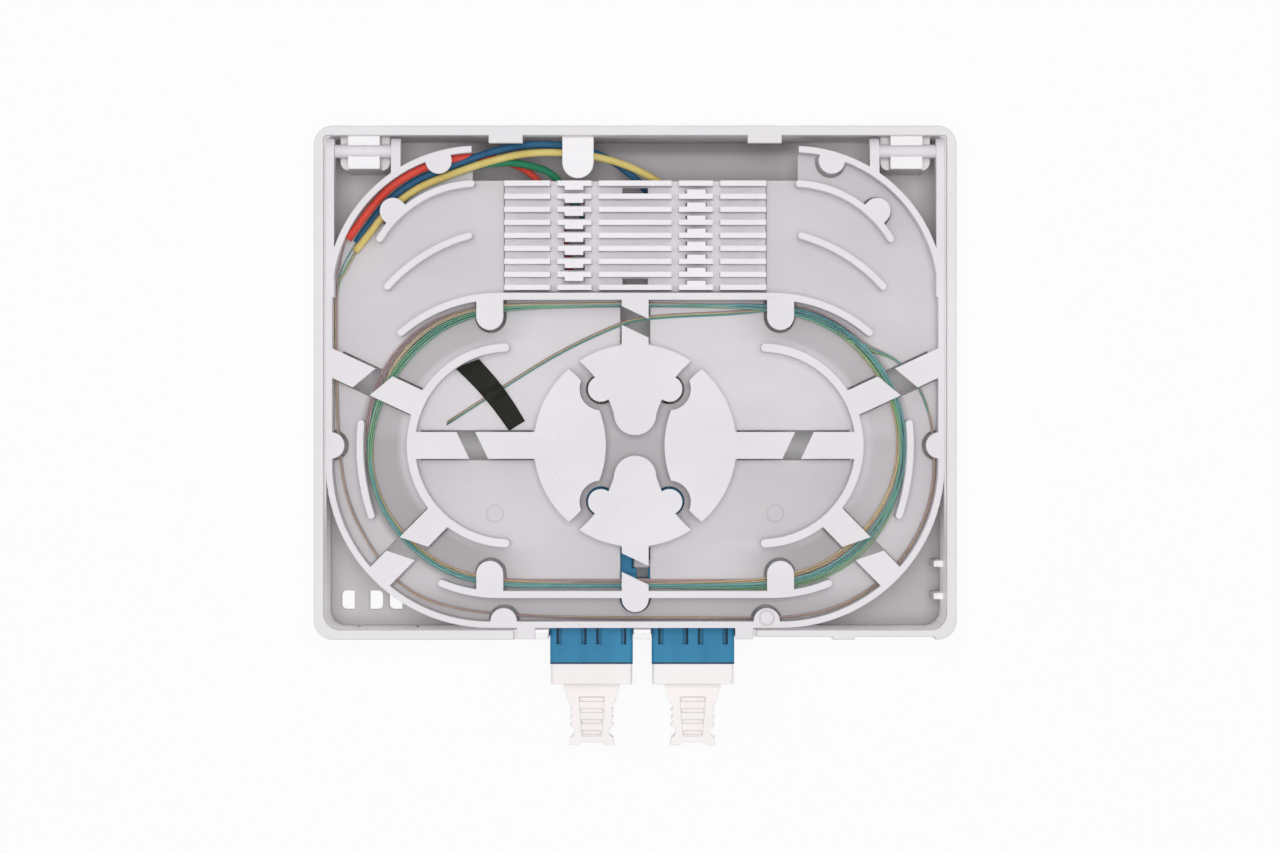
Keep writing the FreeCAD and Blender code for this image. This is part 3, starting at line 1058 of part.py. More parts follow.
def make_buffers():
    """Four pigtails from their plugs, up beside the tray's edge and into the tray's upper left corner."""
    start_y, z = number("boot_y + boot_long - 1"), number("port_z")
    port = {}
    for colour, sign, side in (("red", -1, -1), ("green", -1, 1), ("blue", 1, -1), ("yellow", 1, 1)):
        x = number("adapter_shift") + sign * number("adapter_pitch") / 2 + side * number("port_x")
        port[colour] = [(x, start_y, z), (x, start_y + 12, z + 0.2)]
    red = [(-10.6, 22, 6.6), (-13.4, 29.6, 8.4), (-16.6, 33.4, 10.8), (-20.0, 34.8, 12.0),
           (-23.5, 35.25, 13.98)]
    make_buffer("red", port["red"] + red + corner_run(21.9, (101, 118, 136, 154), (0.6, 0.6, 0.6, 0.6)))
    green = [(-4.8, 21, 6.6), (-11.0, 30.6, 8.4), (-13.2, 33.2, 10.8), (-16.5, 34.2, 12.9),
             (-21.5, 34.8, 14.4)]
    make_buffer("green", port["green"] + green + corner_run(19.57, (101, 118, 136), (0.7, 0.6, 0.6)))
    blue = [(5.6, 21, 6.4), (3.0, 29.6, 8.2), (-3.0, 35.0, 10.4), (-9.5, 37.3, 12.6), (-17.0, 37.5, 14.2),
            (-22.6, 36.2, 15.3)]
    make_buffer("blue", port["blue"] + blue + corner_run(20.74, (104, 120, 138, 151), (1.9, 1.5, 0.9, 0.6)))
    yellow = [(11.4, 21, 6.4), (7.0, 29.6, 8.4), (0.8, 33.6, 11.3), (-6.5, 35.8, 13.6), (-15.5, 36.3, 14.3),
              (-22.2, 34.9, 15.6)]
    corner = corner_run(19.55, (104, 120, 138, 150), (1.9, 1.75, 1.75, 1.75))
    corner += corner_run(20.5, (159,), (1.1,))
    make_buffer("yellow", port["yellow"] + yellow + corner)


def make_all():
    """Every piece of the box."""
    base = body("base_housing")
    base_shell(base)
    base_hinge(base)
    base_details(base)
    tray = body("splice_tray")
    tray_floor_and_wall(tray)
    tray_guides(tray)
    tray_holes(tray)
    tray_hub(tray)
    tray_fingers(tray)
    tray_hinge(tray)
    make_comb()
    colours = {"left": ("red", "green"), "right": ("blue", "yellow")}
    for side, sign in (("left", "-"), ("right", "+")):
        place = f"adapter_shift {sign} adapter_pitch / 2"
        adapter_half(f"adapter_{side}_front", place, True)
        adapter_half(f"adapter_{side}_rear", place, False)
        make_cap(f"dust_cap_{side}", place)
        for order, colour in enumerate(colours[side]):
            port = f"{place} {'+' if order else '-'} port_x"
            make_sleeve(f"sleeve_{colour}", port)
            make_plug(colour, port)
    make_fibres()
    make_buffers()


make_all()
doc.recompute()

# Every feature must have worked, and every cut must take material away
for item in doc.Objects:
    if any(state in ("Invalid", "Error") for state in item.State):
        raise RuntimeError(f"{item.Name} failed: {item.State} {item.getStatusString()}")
    if item.TypeId == "PartDesign::Pocket" and item.BaseFeature.Shape.Volume - item.Shape.Volume < 1e-6:
        raise RuntimeError(f"{item.Name} cuts nothing")

os.makedirs("parts", exist_ok=True)
for item in doc.Objects:
    if item.TypeId not in ("PartDesign::Body", "Part::Feature"):
        continue
    shape = item.Shape
    if shape.isNull() or not shape.isValid() or len(shape.Solids) != 1:
        raise RuntimeError(f"{item.Name}: bad solid, {[str(solid.BoundBox) for solid in shape.Solids]}")
    shape.exportStep(f"parts/{item.Name}.step")
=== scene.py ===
import math
import bpy
import numpy as np
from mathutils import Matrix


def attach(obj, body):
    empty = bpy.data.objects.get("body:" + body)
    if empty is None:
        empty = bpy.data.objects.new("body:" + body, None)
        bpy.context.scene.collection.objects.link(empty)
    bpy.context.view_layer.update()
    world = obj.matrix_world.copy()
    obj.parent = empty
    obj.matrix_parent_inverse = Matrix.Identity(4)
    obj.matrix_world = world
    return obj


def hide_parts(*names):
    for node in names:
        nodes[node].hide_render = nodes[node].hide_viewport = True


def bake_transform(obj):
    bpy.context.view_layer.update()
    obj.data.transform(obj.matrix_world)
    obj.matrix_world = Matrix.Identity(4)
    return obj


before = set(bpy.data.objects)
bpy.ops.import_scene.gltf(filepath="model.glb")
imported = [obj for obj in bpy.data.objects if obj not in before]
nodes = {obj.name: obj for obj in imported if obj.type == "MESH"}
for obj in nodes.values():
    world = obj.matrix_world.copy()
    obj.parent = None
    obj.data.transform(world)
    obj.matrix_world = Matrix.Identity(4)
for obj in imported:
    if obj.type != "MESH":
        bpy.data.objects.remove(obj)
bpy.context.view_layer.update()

scene = bpy.context.scene
MM = 0.001
PER_METRE = 1000.0


# Places and sizes of the part in millimetres: inner faces of the walls, tray levels, coil and adapters

WALL_X = 48.4
WALL_Y = 38.4
TRAY_FLOOR = 13.4
TRAY_TOP = 18.2
COIL_Y = -9.765
ADAPTER_SHIFT = 1.1
ADAPTER_PITCH = 16.0
ADAPTER_FRONT = -44.2
PORT_PITCH = 6.25


# Node trees written as formulas

class Value:
    """A number socket in a node tree. Each operator adds one Math node and gives its result."""

    def __init__(self, look, socket):
        self.look = look
        self.socket = socket

    def __add__(self, other):
        return self.look.math("ADD", self, other)

    def __radd__(self, other):
        return self.look.math("ADD", other, self)

    def __sub__(self, other):
        return self.look.math("SUBTRACT", self, other)

    def __rsub__(self, other):
        return self.look.math("SUBTRACT", other, self)

    def __mul__(self, other):
        return self.look.math("MULTIPLY", self, other)

    def __rmul__(self, other):
        return self.look.math("MULTIPLY", other, self)

    def __pow__(self, other):
        return self.look.math("POWER", self, other)


class Look:
    """One material, or the world that is given, built node by node."""

    def __init__(self, name, world=None):
        self.material = world or bpy.data.materials.new(name)
        self.material.use_nodes = True
        self.tree = self.material.node_tree
        self.tree.nodes.clear()
        self.place = self.node("ShaderNodeTexCoord").outputs["Object"]

    def node(self, kind, settings=None, sockets=None):
        """A node of this kind: its settings are set first, then its sockets get their values or links."""
        made = self.tree.nodes.new(kind)
        for name, value in (settings or {}).items():
            setattr(made, name, value)
        for name, value in (sockets or {}).items():
            if isinstance(value, Value):
                value = value.socket
            if isinstance(value, bpy.types.NodeSocket):
                self.tree.links.new(value, made.inputs[name])
            else:
                made.inputs[name].default_value = value
        return made

    def math(self, operation, first, second=0.0):
        made = self.node("ShaderNodeMath", {"operation": operation}, {0: first, 1: second})
        return Value(self, made.outputs[0])

    def size(self, value):
        """The value without its sign."""
        return self.math("ABSOLUTE", value)

    def greater(self, first, second):
        return self.math("MAXIMUM", first, second)

    def length(self, across, along):
        """Length of the line that goes this far across and along."""
        return (across * across + along * along) ** 0.5

    def rise(self, value, span):
        """0 below the span's first number and 1 above its second, with a smooth rise between."""
        made = self.node("ShaderNodeMapRange", {"interpolation_type": "SMOOTHSTEP"}, {
            "Value": value,
            "From Min": span[0],
            "From Max": span[1],
        })
        return Value(self, made.outputs[0])

    def fall(self, value, span):
        """1 below the span's first number and 0 above its second, with a smooth fall between."""
        return 1.0 - self.rise(value, span)

    def axes(self):
        """The three object coordinates in millimetres."""
        split = self.node("ShaderNodeSeparateXYZ", None, {0: self.place})
        return [Value(self, split.outputs[index]) * PER_METRE for index in range(3)]

    def stretched(self, scale, turn=0.0):
        """Object coordinates turned about Z and scaled along each axis, for patterns with a direction."""
        mapping = self.node("ShaderNodeMapping", None, {
            "Vector": self.place,
            "Rotation": (0.0, 0.0, turn),
            "Scale": scale,
        })
        return mapping.outputs[0]

    def noise(self, size, detail=2.0, place=None):
        """Soft noise whose lumps are about this size in millimetres."""
        made = self.node("ShaderNodeTexNoise", None, {
            "Vector": place or self.place,
            "Scale": PER_METRE / size,
            "Detail": detail,
        })
        return Value(self, made.outputs[0])

    def blend(self, factor, first, second):
        made = self.node("ShaderNodeMix", {"data_type": "RGBA"}, {0: factor, 6: first, 7: second})
        return made.outputs[2]

    def plain_normal(self):
        return self.node("ShaderNodeNewGeometry").outputs["Normal"]

    def soft_edges(self, radius):
        """The surface normal with the part's sharp edges rounded over by this radius in millimetres."""
        made = self.node("ShaderNodeBevel", {"samples": 6}, {"Radius": radius * MM})
        return made.outputs[0]

    def bump(self, height, depth, normal):
        """The normal tilted by a height pattern that is this many millimetres deep."""
        made = self.node("ShaderNodeBump", None, {
            "Height": height,
            "Distance": depth * MM,
            "Normal": normal,
        })
        return made.outputs[0]

    def finish(self, sockets):
        shader = self.node("ShaderNodeBsdfPrincipled", None, sockets)
        self.node("ShaderNodeOutputMaterial", None, {"Surface": shader.outputs[0]})
        return self.material


def tint(red, green, blue):
    """A screen colour, 0 to 255, as the linear colour that nodes use."""
    parts = []
    for part in (red, green, blue):
        share = part / 255.0
        parts.append(share / 12.92 if share <= 0.04045 else ((share + 0.055) / 1.055) ** 2.4)
    return (parts[0], parts[1], parts[2], 1.0)


# Finishes

WHITE = (1.0, 1.0, 1.0, 1.0)
BLACK = (0.0, 0.0, 0.0, 1.0)
SPECK_TINT = tint(178, 174, 176)
# grey that the white plastics blend towards, mostly for painted shade
GREY_AND_SHADE_TINT = tint(150, 143, 145)
# dark blue of the adapters' seam lines and of the painted shade in their grooves
SEAM_AND_SHADE_TINT = tint(22, 40, 62)
SATIN = 0.28
MATT = 0.16


def white_plastic(name, light, shade, edge, gloss, grey_and_shade_places=None, marks=None, painted_glow=None):
    """Moulded white plastic: slow clouds of tone, flow marks, a fine eroded grain and rounded edges.

    The grey places say how grey the plastic is in each place, which is mostly painted shade, marks is a
    height of moulding marks on it, and the glow is painted light that the plastic gives out as emission.
    """
    look = Look(name)
    clouds = look.noise(size=14.0, detail=3.0)
    flow = look.noise(size=5.0, detail=2.0, place=look.stretched(scale=(0.35, 1.6, 1.0), turn=0.4))
    grain = look.noise(size=0.22, detail=3.0)
    specks = look.rise(look.noise(size=0.9, detail=1.0), span=(0.70, 0.78))
    tone = look.rise(clouds * 0.65 + flow * 0.35, span=(0.32, 0.68))
    color = look.blend(tone, shade, light)
    color = look.blend(specks * 0.12, color, SPECK_TINT)
    # painted shade: the colour goes grey in the places the caller gives
    if grey_and_shade_places:
        color = look.blend(grey_and_shade_places(look), color, GREY_AND_SHADE_TINT)
    normal = look.bump(grain, depth=0.012, normal=look.soft_edges(edge))
    normal = look.bump(flow, depth=0.03, normal=normal)
    if marks:
        normal = look.bump(marks(look), depth=0.12, normal=normal)
    sockets = {
        "Base Color": color,
        "Roughness": gloss + grain * 0.10 + flow * 0.06,
        "Normal": normal,
        "Specular IOR Level": SATIN,
    }
    # painted light: the plastic gives out light as emission where the glow mask says
    if painted_glow:
        sockets["Emission Color"] = look.blend(painted_glow(look), BLACK, light)
        sockets["Emission Strength"] = 1.0
        look.material.cycles.emission_sampling = "NONE"
    return look.finish(sockets)


def ejector_marks(look):
    """Round marks that the mould's pins left, by distance from their centres.

    They are a shallow disc on each side of the tray's floor and a ring on the lower right half-round tab.
    """
    disc_x, disc_y = 22.0, -20.5
    ring_x, ring_y = 20.5, -36.6
    disc_edge = (1.1, 1.5)
    ring_inside = (0.95, 1.08)
    ring_outside = (1.15, 1.28)
    floor_end = (TRAY_FLOOR + 0.2, TRAY_FLOOR + 0.6)
    tab_face = (TRAY_TOP - 0.2, TRAY_TOP)
    x, y, z = look.axes()
    disc = look.length(look.size(x) - disc_x, y - disc_y)
    ring = look.length(x - ring_x, y - ring_y)
    on_floor = look.fall(disc, disc_edge) * look.fall(z, floor_end)
    on_tab = look.rise(ring, ring_inside) * look.fall(ring, ring_outside) * look.rise(z, tab_face)
    return on_floor + on_tab


def tray_floor_shade(look):
    """Painted shade on the tray's floor, darker than its tops: some all over it, less in the upper half
    inside the coil, more in the ends of the coil channel, round the hub, at the lower right and along the
    bottom.

    The channel is the band between two distances from the line that joins its two round ends. The right end
    has a brighter place.
    """
    line_end = 20.5
    bright_middle = -13.0
    floor_start = (TRAY_FLOOR - 0.4, TRAY_FLOOR - 0.2)
    floor_end = (TRAY_FLOOR + 0.2, TRAY_FLOOR + 1.2)
    channel_inside = (15.6, 17.2)
    channel_outside = (22.2, 23.2)
    channel_start = (14.0, 26.0)
    bright_start = (28.0, 36.0)
    bright_edge = (5.0, 14.0)
    coil_inside = (19.5, 21.5)
    upper_start = (0.0, 3.0)
    ring_inside = (14.0, 15.6)
    lower_end = (-6.0, 0.0)
    right_start = (6.0, 24.0)
    bottom_end = (-35.0, -31.0)
    hub_edge = (12.0, 17.0)
    x, y, z = look.axes()
    reach = look.size(x)
    above = y - COIL_Y
    from_line = look.length(look.greater(reach - line_end, 0.0), above)
    from_hub = look.length(x, above)
    on_floor = look.rise(z, floor_start) * look.fall(z, floor_end)
    bright = look.rise(x, bright_start) * look.fall(look.size(y - bright_middle), bright_edge)
    band = look.rise(from_line, channel_inside) * look.fall(from_line, channel_outside)
    band = band * look.rise(reach, channel_start) * (1.0 - 0.5 * bright)
    upper = look.fall(from_line, coil_inside) * look.rise(above, upper_start)
    lower_right = look.fall(from_line, ring_inside) * look.fall(above, lower_end)
    lower_right = lower_right * look.rise(x, right_start)
    bottom = look.fall(y, bottom_end)
    hub = look.fall(from_hub, hub_edge)
    grey = 0.27 - 0.13 * upper + 0.12 * lower_right + 0.26 * hub + 0.42 * band + 0.26 * bottom
    return on_floor * grey


def upper_part(look, y):
    """1 over the base's upper part and along the tray's sides, 0 round the two lower corners."""
    return look.rise(y, (-26.0, -16.0))


def rim_grey_and_base_shade(look):
    """Grey of the base: a plain grey on the rim, and painted shade on the floor.

    That is the rim, the floor behind the tray's middle and the floor outside the tray, which is past a
    distance from the tray's rounded corners.
    """
    corner_x = 23.6
    corner_top = 13.3
    corner_bottom = -12.7
    corner_radius = (22.5, 24.5)
    rim_start = (18.0, 18.6)
    floor_start = (0.9, 1.2)
    floor_end = (2.0, 3.0)
    wall_x = (WALL_X, WALL_X + 0.8)
    wall_y = (WALL_Y, WALL_Y + 0.8)
    behind_start = (28.0, 31.0)
    behind_edge = (22.0, 30.0)
    right_start = (0.0, 20.0)
    half_end = (-10.0, 10.0)
    x, y, z = look.axes()
    reach = look.size(x)
    rim = look.rise(z, rim_start)
    floor = look.rise(z, floor_start) * look.fall(z, floor_end)
    floor = floor * look.fall(reach, wall_x) * look.fall(look.size(y), wall_y)
    behind = look.rise(y, behind_start) * look.fall(reach, behind_edge)
    past_x = look.greater(reach - corner_x, 0.0)
    past_y = look.greater(look.greater(y - corner_top, corner_bottom - y), 0.0)
    outside = look.rise(look.length(past_x, past_y), corner_radius)
    lower_right = look.rise(x, right_start) * look.fall(y, half_end)
    lower = 1.0 - upper_part(look, y)
    outside_grey = 0.36 + 0.14 * lower_right + 0.12 * lower
    # a plain grey on the rim, and painted shade on the floor behind the tray's middle and outside the tray
    return 0.20 * rim + floor * (0.72 * behind + outside_grey * outside)


def on_face(look, distance, face):
    """1 on the inner face of a wall that stands at this distance from the middle."""
    return look.rise(distance, (face - 0.8, face - 0.5)) * look.fall(distance, (face + 0.4, face + 0.7))


def painted_wall_light(look):
    """Painted light given out as emission by the base's inner wall faces: most of it beside the tray, just
    below its top, and less over the height of the walls round the two lower corners."""
    wall_end = (WALL_X + 0.4, WALL_X + 0.7)
    rim_start = (16.4, 18.2)
    tray_start = (12.0, 14.0)
    corner_start = (2.0, 6.0)
    x, y, z = look.axes()
    reach = look.size(x)
    side = on_face(look, reach, WALL_X)
    bottom = on_face(look, 0.0 - y, WALL_Y) * look.fall(reach, wall_end)
    beside = upper_part(look, y)
    high = 0.34 * side * beside * look.rise(z, tray_start)
    corner = 0.16 * look.greater(side * (1.0 - beside), bottom) * look.rise(z, corner_start)
    # painted light on the inner wall faces, given out as emission
    return (high + corner) * look.fall(z, rim_start)


def from_adapter(look, x):
    """Distance across from the middle of the nearer adapter."""
    return look.size(look.size(x - ADAPTER_SHIFT) - ADAPTER_PITCH / 2.0)


def cap_pocket_shade(look):
    """Painted shade on the dust caps' tails past the neck: a little on the grip panel, more in its pockets
    below.
    """
    panel_edge = (2.1, 2.2)
    neck_start = (-50.2, -50.0)
    tail_middle = (6.0, 6.1)
    pocket_top = (6.5, 6.68)
    panel_top = (6.75, 6.9)
    x, y, z = look.axes()
    inside = look.fall(from_adapter(look, x), panel_edge) * look.fall(y, neck_start)
    pockets = look.fall(z, pocket_top)
    panel = look.fall(z, panel_top)
    return inside * look.rise(z, tail_middle) * (0.02 * panel + 0.05 * pockets)


def adapter_seam_and_groove_shade(look):
    """Dark lines on the adapters: the seam at the front edge, and painted shade in each latch groove, on
    the side away from its port.

    The grooves lie at one distance on both sides of a port, and the ports at one on both sides of an
    adapter's middle.
    """
    upper_start = (8.5, 9.5)
    slot_inside = (1.94, 2.02)
    slot_outside = (2.34, 2.42)
    slot_top = (11.0, 11.15)
    slot_start = (ADAPTER_FRONT + 2.9, ADAPTER_FRONT + 3.1)
    seam_end = (ADAPTER_FRONT + 0.22, ADAPTER_FRONT + 0.34)
    x, y, z = look.axes()
    from_port = look.size(from_adapter(look, x) - PORT_PITCH / 2.0)
    # painted shade along the side of each latch groove away from its port
    slot = look.rise(from_port, slot_inside) * look.fall(from_port, slot_outside)
    slot = slot * look.fall(z, slot_top) * look.rise(y, slot_start)
    seam = look.fall(y, seam_end)
    return look.greater(slot * 0.85, seam * 0.8) * look.rise(z, upper_start)


def coloured_plastic(name, main, deep, edge, gloss, seam_and_shade_places=None):
    """Moulded coloured plastic: streaks of pigment along the length, a fine grain and rounded edges.

    The dark places say how dark the plastic is in each place: seam lines and painted shade.
    """
    look = Look(name)
    streaks = look.noise(size=3.2, detail=3.0, place=look.stretched(scale=(1.4, 0.3, 1.0)))
    grain = look.noise(size=0.16, detail=3.0)
    clouds = look.noise(size=6.0, detail=2.0)
    tone = look.rise(streaks * 0.6 + clouds * 0.4, span=(0.34, 0.66))
    color = look.blend(tone, deep, main)
    if seam_and_shade_places:
        color = look.blend(seam_and_shade_places(look), color, SEAM_AND_SHADE_TINT)
    return look.finish({
        "Base Color": color,
        "Roughness": gloss + grain * 0.14,
        "Normal": look.bump(grain, depth=0.010, normal=look.soft_edges(edge)),
        "Specular IOR Level": MATT,
    })


def tube_plastic(name, main, deep):
    """Extruded tube jacket: slow change of tone along the tube, a faint matt bloom and a fine grain."""
    look = Look(name)
    slow = look.noise(size=4.5, detail=2.0)
    bloom = look.noise(size=0.6, detail=3.0)
    grain = look.noise(size=0.12, detail=2.0)
    tone = look.rise(slow * 0.7 + bloom * 0.3, span=(0.33, 0.67))
    return look.finish({
        "Base Color": look.blend(tone, deep, main),
        "Roughness": 0.36 + bloom * 0.22,
        "Normal": look.bump(grain, depth=0.008, normal=look.plain_normal()),
        "Specular IOR Level": MATT,
    })


def lacquered_fibre(name, main, deep):
    """Lacquered glass fibre: thin colour that fades and deepens along its length under a clear gloss."""
    look = Look(name)
    slow = look.noise(size=24.0, detail=2.0)
    fine = look.noise(size=1.1, detail=2.0)
    tone = look.rise(slow * 0.8 + fine * 0.2, span=(0.40, 0.60))
    return look.finish({
        "Base Color": look.blend(tone, deep, main),
        "Roughness": 0.26 + fine * 0.2,
        "Specular IOR Level": 0.5,
        "Coat Weight": 0.3,
        "Coat Roughness": 0.15,
    })


def cloth_tape(name):
    """Black tape: dull backing with a fine grain, a few stretch marks across it and dusty patches."""
    look = Look(name)
    grain = look.noise(size=0.18, detail=4.0)
    marks = look.noise(size=0.8, detail=2.0, place=look.stretched(scale=(2.4, 0.35, 1.0), turn=0.88))
    dust = look.rise(look.noise(size=2.4, detail=4.0), span=(0.48, 0.72))
    color = look.blend(look.rise(grain, span=(0.35, 0.7)), tint(24, 25, 19), tint(39, 40, 32))
    color = look.blend(dust * 0.08, color, tint(96, 96, 84))
    normal = look.bump(grain, depth=0.03, normal=look.plain_normal())
    return look.finish({
        "Base Color": color,
        "Roughness": 0.52 + grain * 0.25,
        "Normal": look.bump(marks, depth=0.05, normal=normal),
        "Specular IOR Level": MATT,
    })


def fired_ceramic(name):
    """Fired ceramic: near white, glossy, with a faint ground finish."""
    look = Look(name)
    ground = look.noise(size=0.3, detail=3.0, place=look.stretched(scale=(1.0, 0.2, 1.0)))
    tone = look.rise(ground, span=(0.3, 0.7))
    return look.finish({
        "Base Color": look.blend(tone, tint(226, 224, 214), tint(240, 239, 232)),
        "Roughness": 0.12 + ground * 0.1,
        "Normal": look.bump(ground, depth=0.004, normal=look.soft_edges(0.05)),
    })


# the base: painted shade on its floor and painted light glowing on its inner wall faces
shell_white = white_plastic("shell_white", tint(250, 248, 249), tint(246, 243, 244), edge=0.30, gloss=0.36,
                            grey_and_shade_places=rim_grey_and_base_shade, painted_glow=painted_wall_light)
# the tray: painted shade on its floor, deepest in the narrow coil channel
tray_white = white_plastic("tray_white", tint(237, 233, 236), tint(231, 227, 230), edge=0.16, gloss=0.40,
                           grey_and_shade_places=tray_floor_shade, marks=ejector_marks)
comb_white = white_plastic("comb_white", tint(247, 243, 247), tint(241, 237, 241), edge=0.12, gloss=0.42)
# the dust caps: painted shade in the grip panel and its pockets
cap_ivory = white_plastic("cap_ivory", tint(252, 247, 245), tint(247, 241, 238), edge=0.20, gloss=0.34,
                          grey_and_shade_places=cap_pocket_shade)
boot_white = white_plastic("boot_white", tint(232, 232, 232), tint(222, 222, 224), edge=0.15, gloss=0.50)
# the adapters: a dark seam line and painted shade in the latch grooves
adapter_blue = coloured_plastic("adapter_blue", tint(56, 139, 180), tint(48, 128, 169), edge=0.16,
                                gloss=0.40, seam_and_shade_places=adapter_seam_and_groove_shade)
plug_blue = coloured_plastic("plug_blue", tint(48, 104, 160), tint(40, 92, 146), edge=0.12, gloss=0.34)
ceramic = fired_ceramic("ceramic")

FINISHES = {
    "base_housing": shell_white,
    "splice_tray": tray_white,
    "splice_holder": comb_white,
    "dust_cap": cap_ivory,
    "adapter": adapter_blue,
    "sleeve": ceramic,
    "ferrule": ceramic,
    "boot": boot_white,
    "housing": plug_blue,
}
for name, node in nodes.items():
    for word, finish in FINISHES.items():
        if word in name:
            for slot in node.material_slots:
                slot.material = finish
            break


# Shapes

def spline_points(points, resolution):
    """Points along the smooth NURBS line, order 3 and held at both ends, that has these control points."""
    curve = bpy.data.curves.new("route", "CURVE")
    curve.dimensions = "3D"
    curve.resolution_u = resolution
    spline = curve.splines.new("NURBS")
    spline.points.add(len(points) - 1)
    rows = np.ones((len(points), 4))
    rows[:, :3] = np.array(points) * MM
    spline.points.foreach_set("co", rows.ravel())
    spline.order_u = 3
    spline.use_endpoint_u = True
    holder = bpy.data.objects.new("route", curve)
    scene.collection.objects.link(holder)
    line = bpy.data.meshes.new_from_object(holder)
    found = np.empty(len(line.vertices) * 3)
    line.vertices.foreach_get("co", found)
    bpy.data.objects.remove(holder)
    bpy.data.curves.remove(curve)
    bpy.data.meshes.remove(line)
    return found.reshape(-1, 3)


def put_mesh(name, points, faces, finish):
    """A smooth-shaded object at the origin with these points in metres and one material."""
    mesh = bpy.data.meshes.new(name)
    mesh.from_pydata(points.tolist(), [], faces)
    mesh.polygons.foreach_set("use_smooth", np.ones(len(mesh.polygons), dtype=bool))
    mesh.materials.append(finish)
    made = bpy.data.objects.new(name, mesh)
    scene.collection.objects.link(made)
    return made


def round_tube(name, route, radius, sides, resolution, finish):
    """A circle carried along a path, with closed ends.

    Each ring is the path's point plus radius times (cos a on the level side direction, which is the tangent
    crossed with Z, plus sin a on the direction square to both).
    """
    path = spline_points(route, resolution)
    tangent = np.gradient(path, axis=0)
    tangent /= np.linalg.norm(tangent, axis=1)[:, None]
    side = np.cross(tangent, (0.0, 0.0, 1.0))
    side /= np.linalg.norm(side, axis=1)[:, None]
    lift = np.cross(side, tangent)
    angle = np.linspace(0.0, 2.0 * math.pi, sides, endpoint=False)[None, :, None]
    ring = np.cos(angle) * side[:, None, :] + np.sin(angle) * lift[:, None, :]
    points = (path[:, None, :] + radius * MM * ring).reshape(-1, 3)
    row = np.arange(len(path) - 1)[:, None] * sides
    here = row + np.arange(sides)[None, :]
    there = row + (np.arange(sides)[None, :] + 1) % sides
    quads = np.stack([here, here + sides, there + sides, there], axis=-1).reshape(-1, 4)
    last = (len(path) - 1) * sides
    faces = quads.tolist()
    faces.append(list(range(sides)))
    faces.append([last + sides - 1 - index for index in range(sides)])
    return put_mesh(name, points, faces, finish)


# Pigtail tubes

TUBE_RADIUS = 0.58
TUBE_SIDES = 20
TUBE_RESOLUTION = 12
BOOT_END = (-1.6, 5.25)
STRAIGHT_END = (10.4, 5.45)
CORNER_X = -24.6
CORNER_Y = 13.3

# A port is its adapter's side and its own, and a row of the corner is a radius, an angle and a height
TUBES = {
    "red": {
        "port": (-1, -1),
        "climb": [(-10.6, 22.0, 6.6), (-13.4, 29.6, 8.4), (-16.6, 33.4, 10.8), (-20.0, 34.8, 12.0),
                  (-23.5, 35.45, 14.6)],
        "corner": [(22.2, 101.0, 2.3), (22.2, 118.0, 2.9), (22.2, 136.0, 3.0), (22.2, 155.8, 2.8)],
        "tints": (tint(232, 92, 76), tint(220, 76, 64)),
    },
    "green": {
        "port": (-1, 1),
        "climb": [(-4.8, 21.0, 6.6), (-11.0, 30.6, 8.4), (-13.2, 33.2, 10.8), (-16.5, 34.2, 12.9),
                  (-21.5, 34.8, 14.4)],
        "corner": [(20.2, 101.0, 0.7), (20.0, 118.0, 0.6), (19.6, 136.0, 0.6)],
        "tints": (tint(62, 150, 112), tint(50, 134, 98)),
    },
    "blue": {
        "port": (1, -1),
        "climb": [(5.6, 21.0, 6.4), (3.0, 29.6, 8.2), (-3.0, 35.0, 10.4), (-9.5, 37.3, 12.6),
                  (-17.0, 37.5, 14.2), (-22.6, 36.2, 15.3)],
        "corner": [(20.95, 104.0, 1.9), (20.95, 120.0, 1.5), (20.95, 138.0, 0.9), (20.95, 155.5, 0.6)],
        "tints": (tint(56, 108, 144), tint(44, 92, 128)),
    },
    "yellow": {
        "port": (1, 1),
        "climb": [(11.4, 21.0, 6.4), (7.0, 29.6, 8.4), (0.8, 33.6, 11.3), (-6.5, 35.8, 13.6),
                  (-15.5, 36.3, 14.3), (-22.2, 34.9, 15.6)],
        "corner": [(19.75, 104.0, 1.9), (19.75, 120.0, 1.75), (19.75, 138.0, 1.75), (19.75, 150.0, 1.75),
                   (20.6, 159.0, 1.1)],
        "tints": (tint(232, 214, 136), tint(220, 198, 114)),
    },
}


def tube_route(port, climb, corner):
    """Points straight out of the boot, up to the tray and round its upper left corner.

    The corner's heights are above the tray's floor.
    """
    across = ADAPTER_SHIFT + port[0] * ADAPTER_PITCH / 2.0 + port[1] * PORT_PITCH / 2.0
    route = [(across, *BOOT_END), (across, *STRAIGHT_END)] + climb
    for radius, angle, height in corner:
        turned = math.radians(angle)
        x = CORNER_X + radius * math.cos(turned)
        y = CORNER_Y + radius * math.sin(turned)
        route.append((x, y, TRAY_FLOOR + height))
    return route


for hue, plan in TUBES.items():
    route = tube_route(plan["port"], plan["climb"], plan["corner"])
    finish = tube_plastic("tube_" + hue, *plan["tints"])
    tube = round_tube("pigtail_tube_" + hue, route, TUBE_RADIUS, TUBE_SIDES, TUBE_RESOLUTION, finish)
    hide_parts("buffer_" + hue + "_base", "buffer_" + hue + "_tray")
    "buffer_" + hue
    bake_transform(tube)


# Bare fibres

FIBRE_RADIUS = 0.125
FIBRE_SIDES = 8
FIBRE_RESOLUTION = 5
TURNS = 4
STRANDS = 4
COIL_X = 20.0
COIL_RADIUS = 21.6
STRAIGHT_X = 7.0
ARC_STEP = 30.0
ARC_STATIONS = 6
FEED_STEP = 22.0
# A control point on an arc stands out by this much, because the spline passes inside it
COIL_OUTSET = 1.0 / math.cos(math.radians(ARC_STEP / 2.0))
FEED_OUTSET = 1.0 / math.cos(math.radians(FEED_STEP / 2.0))
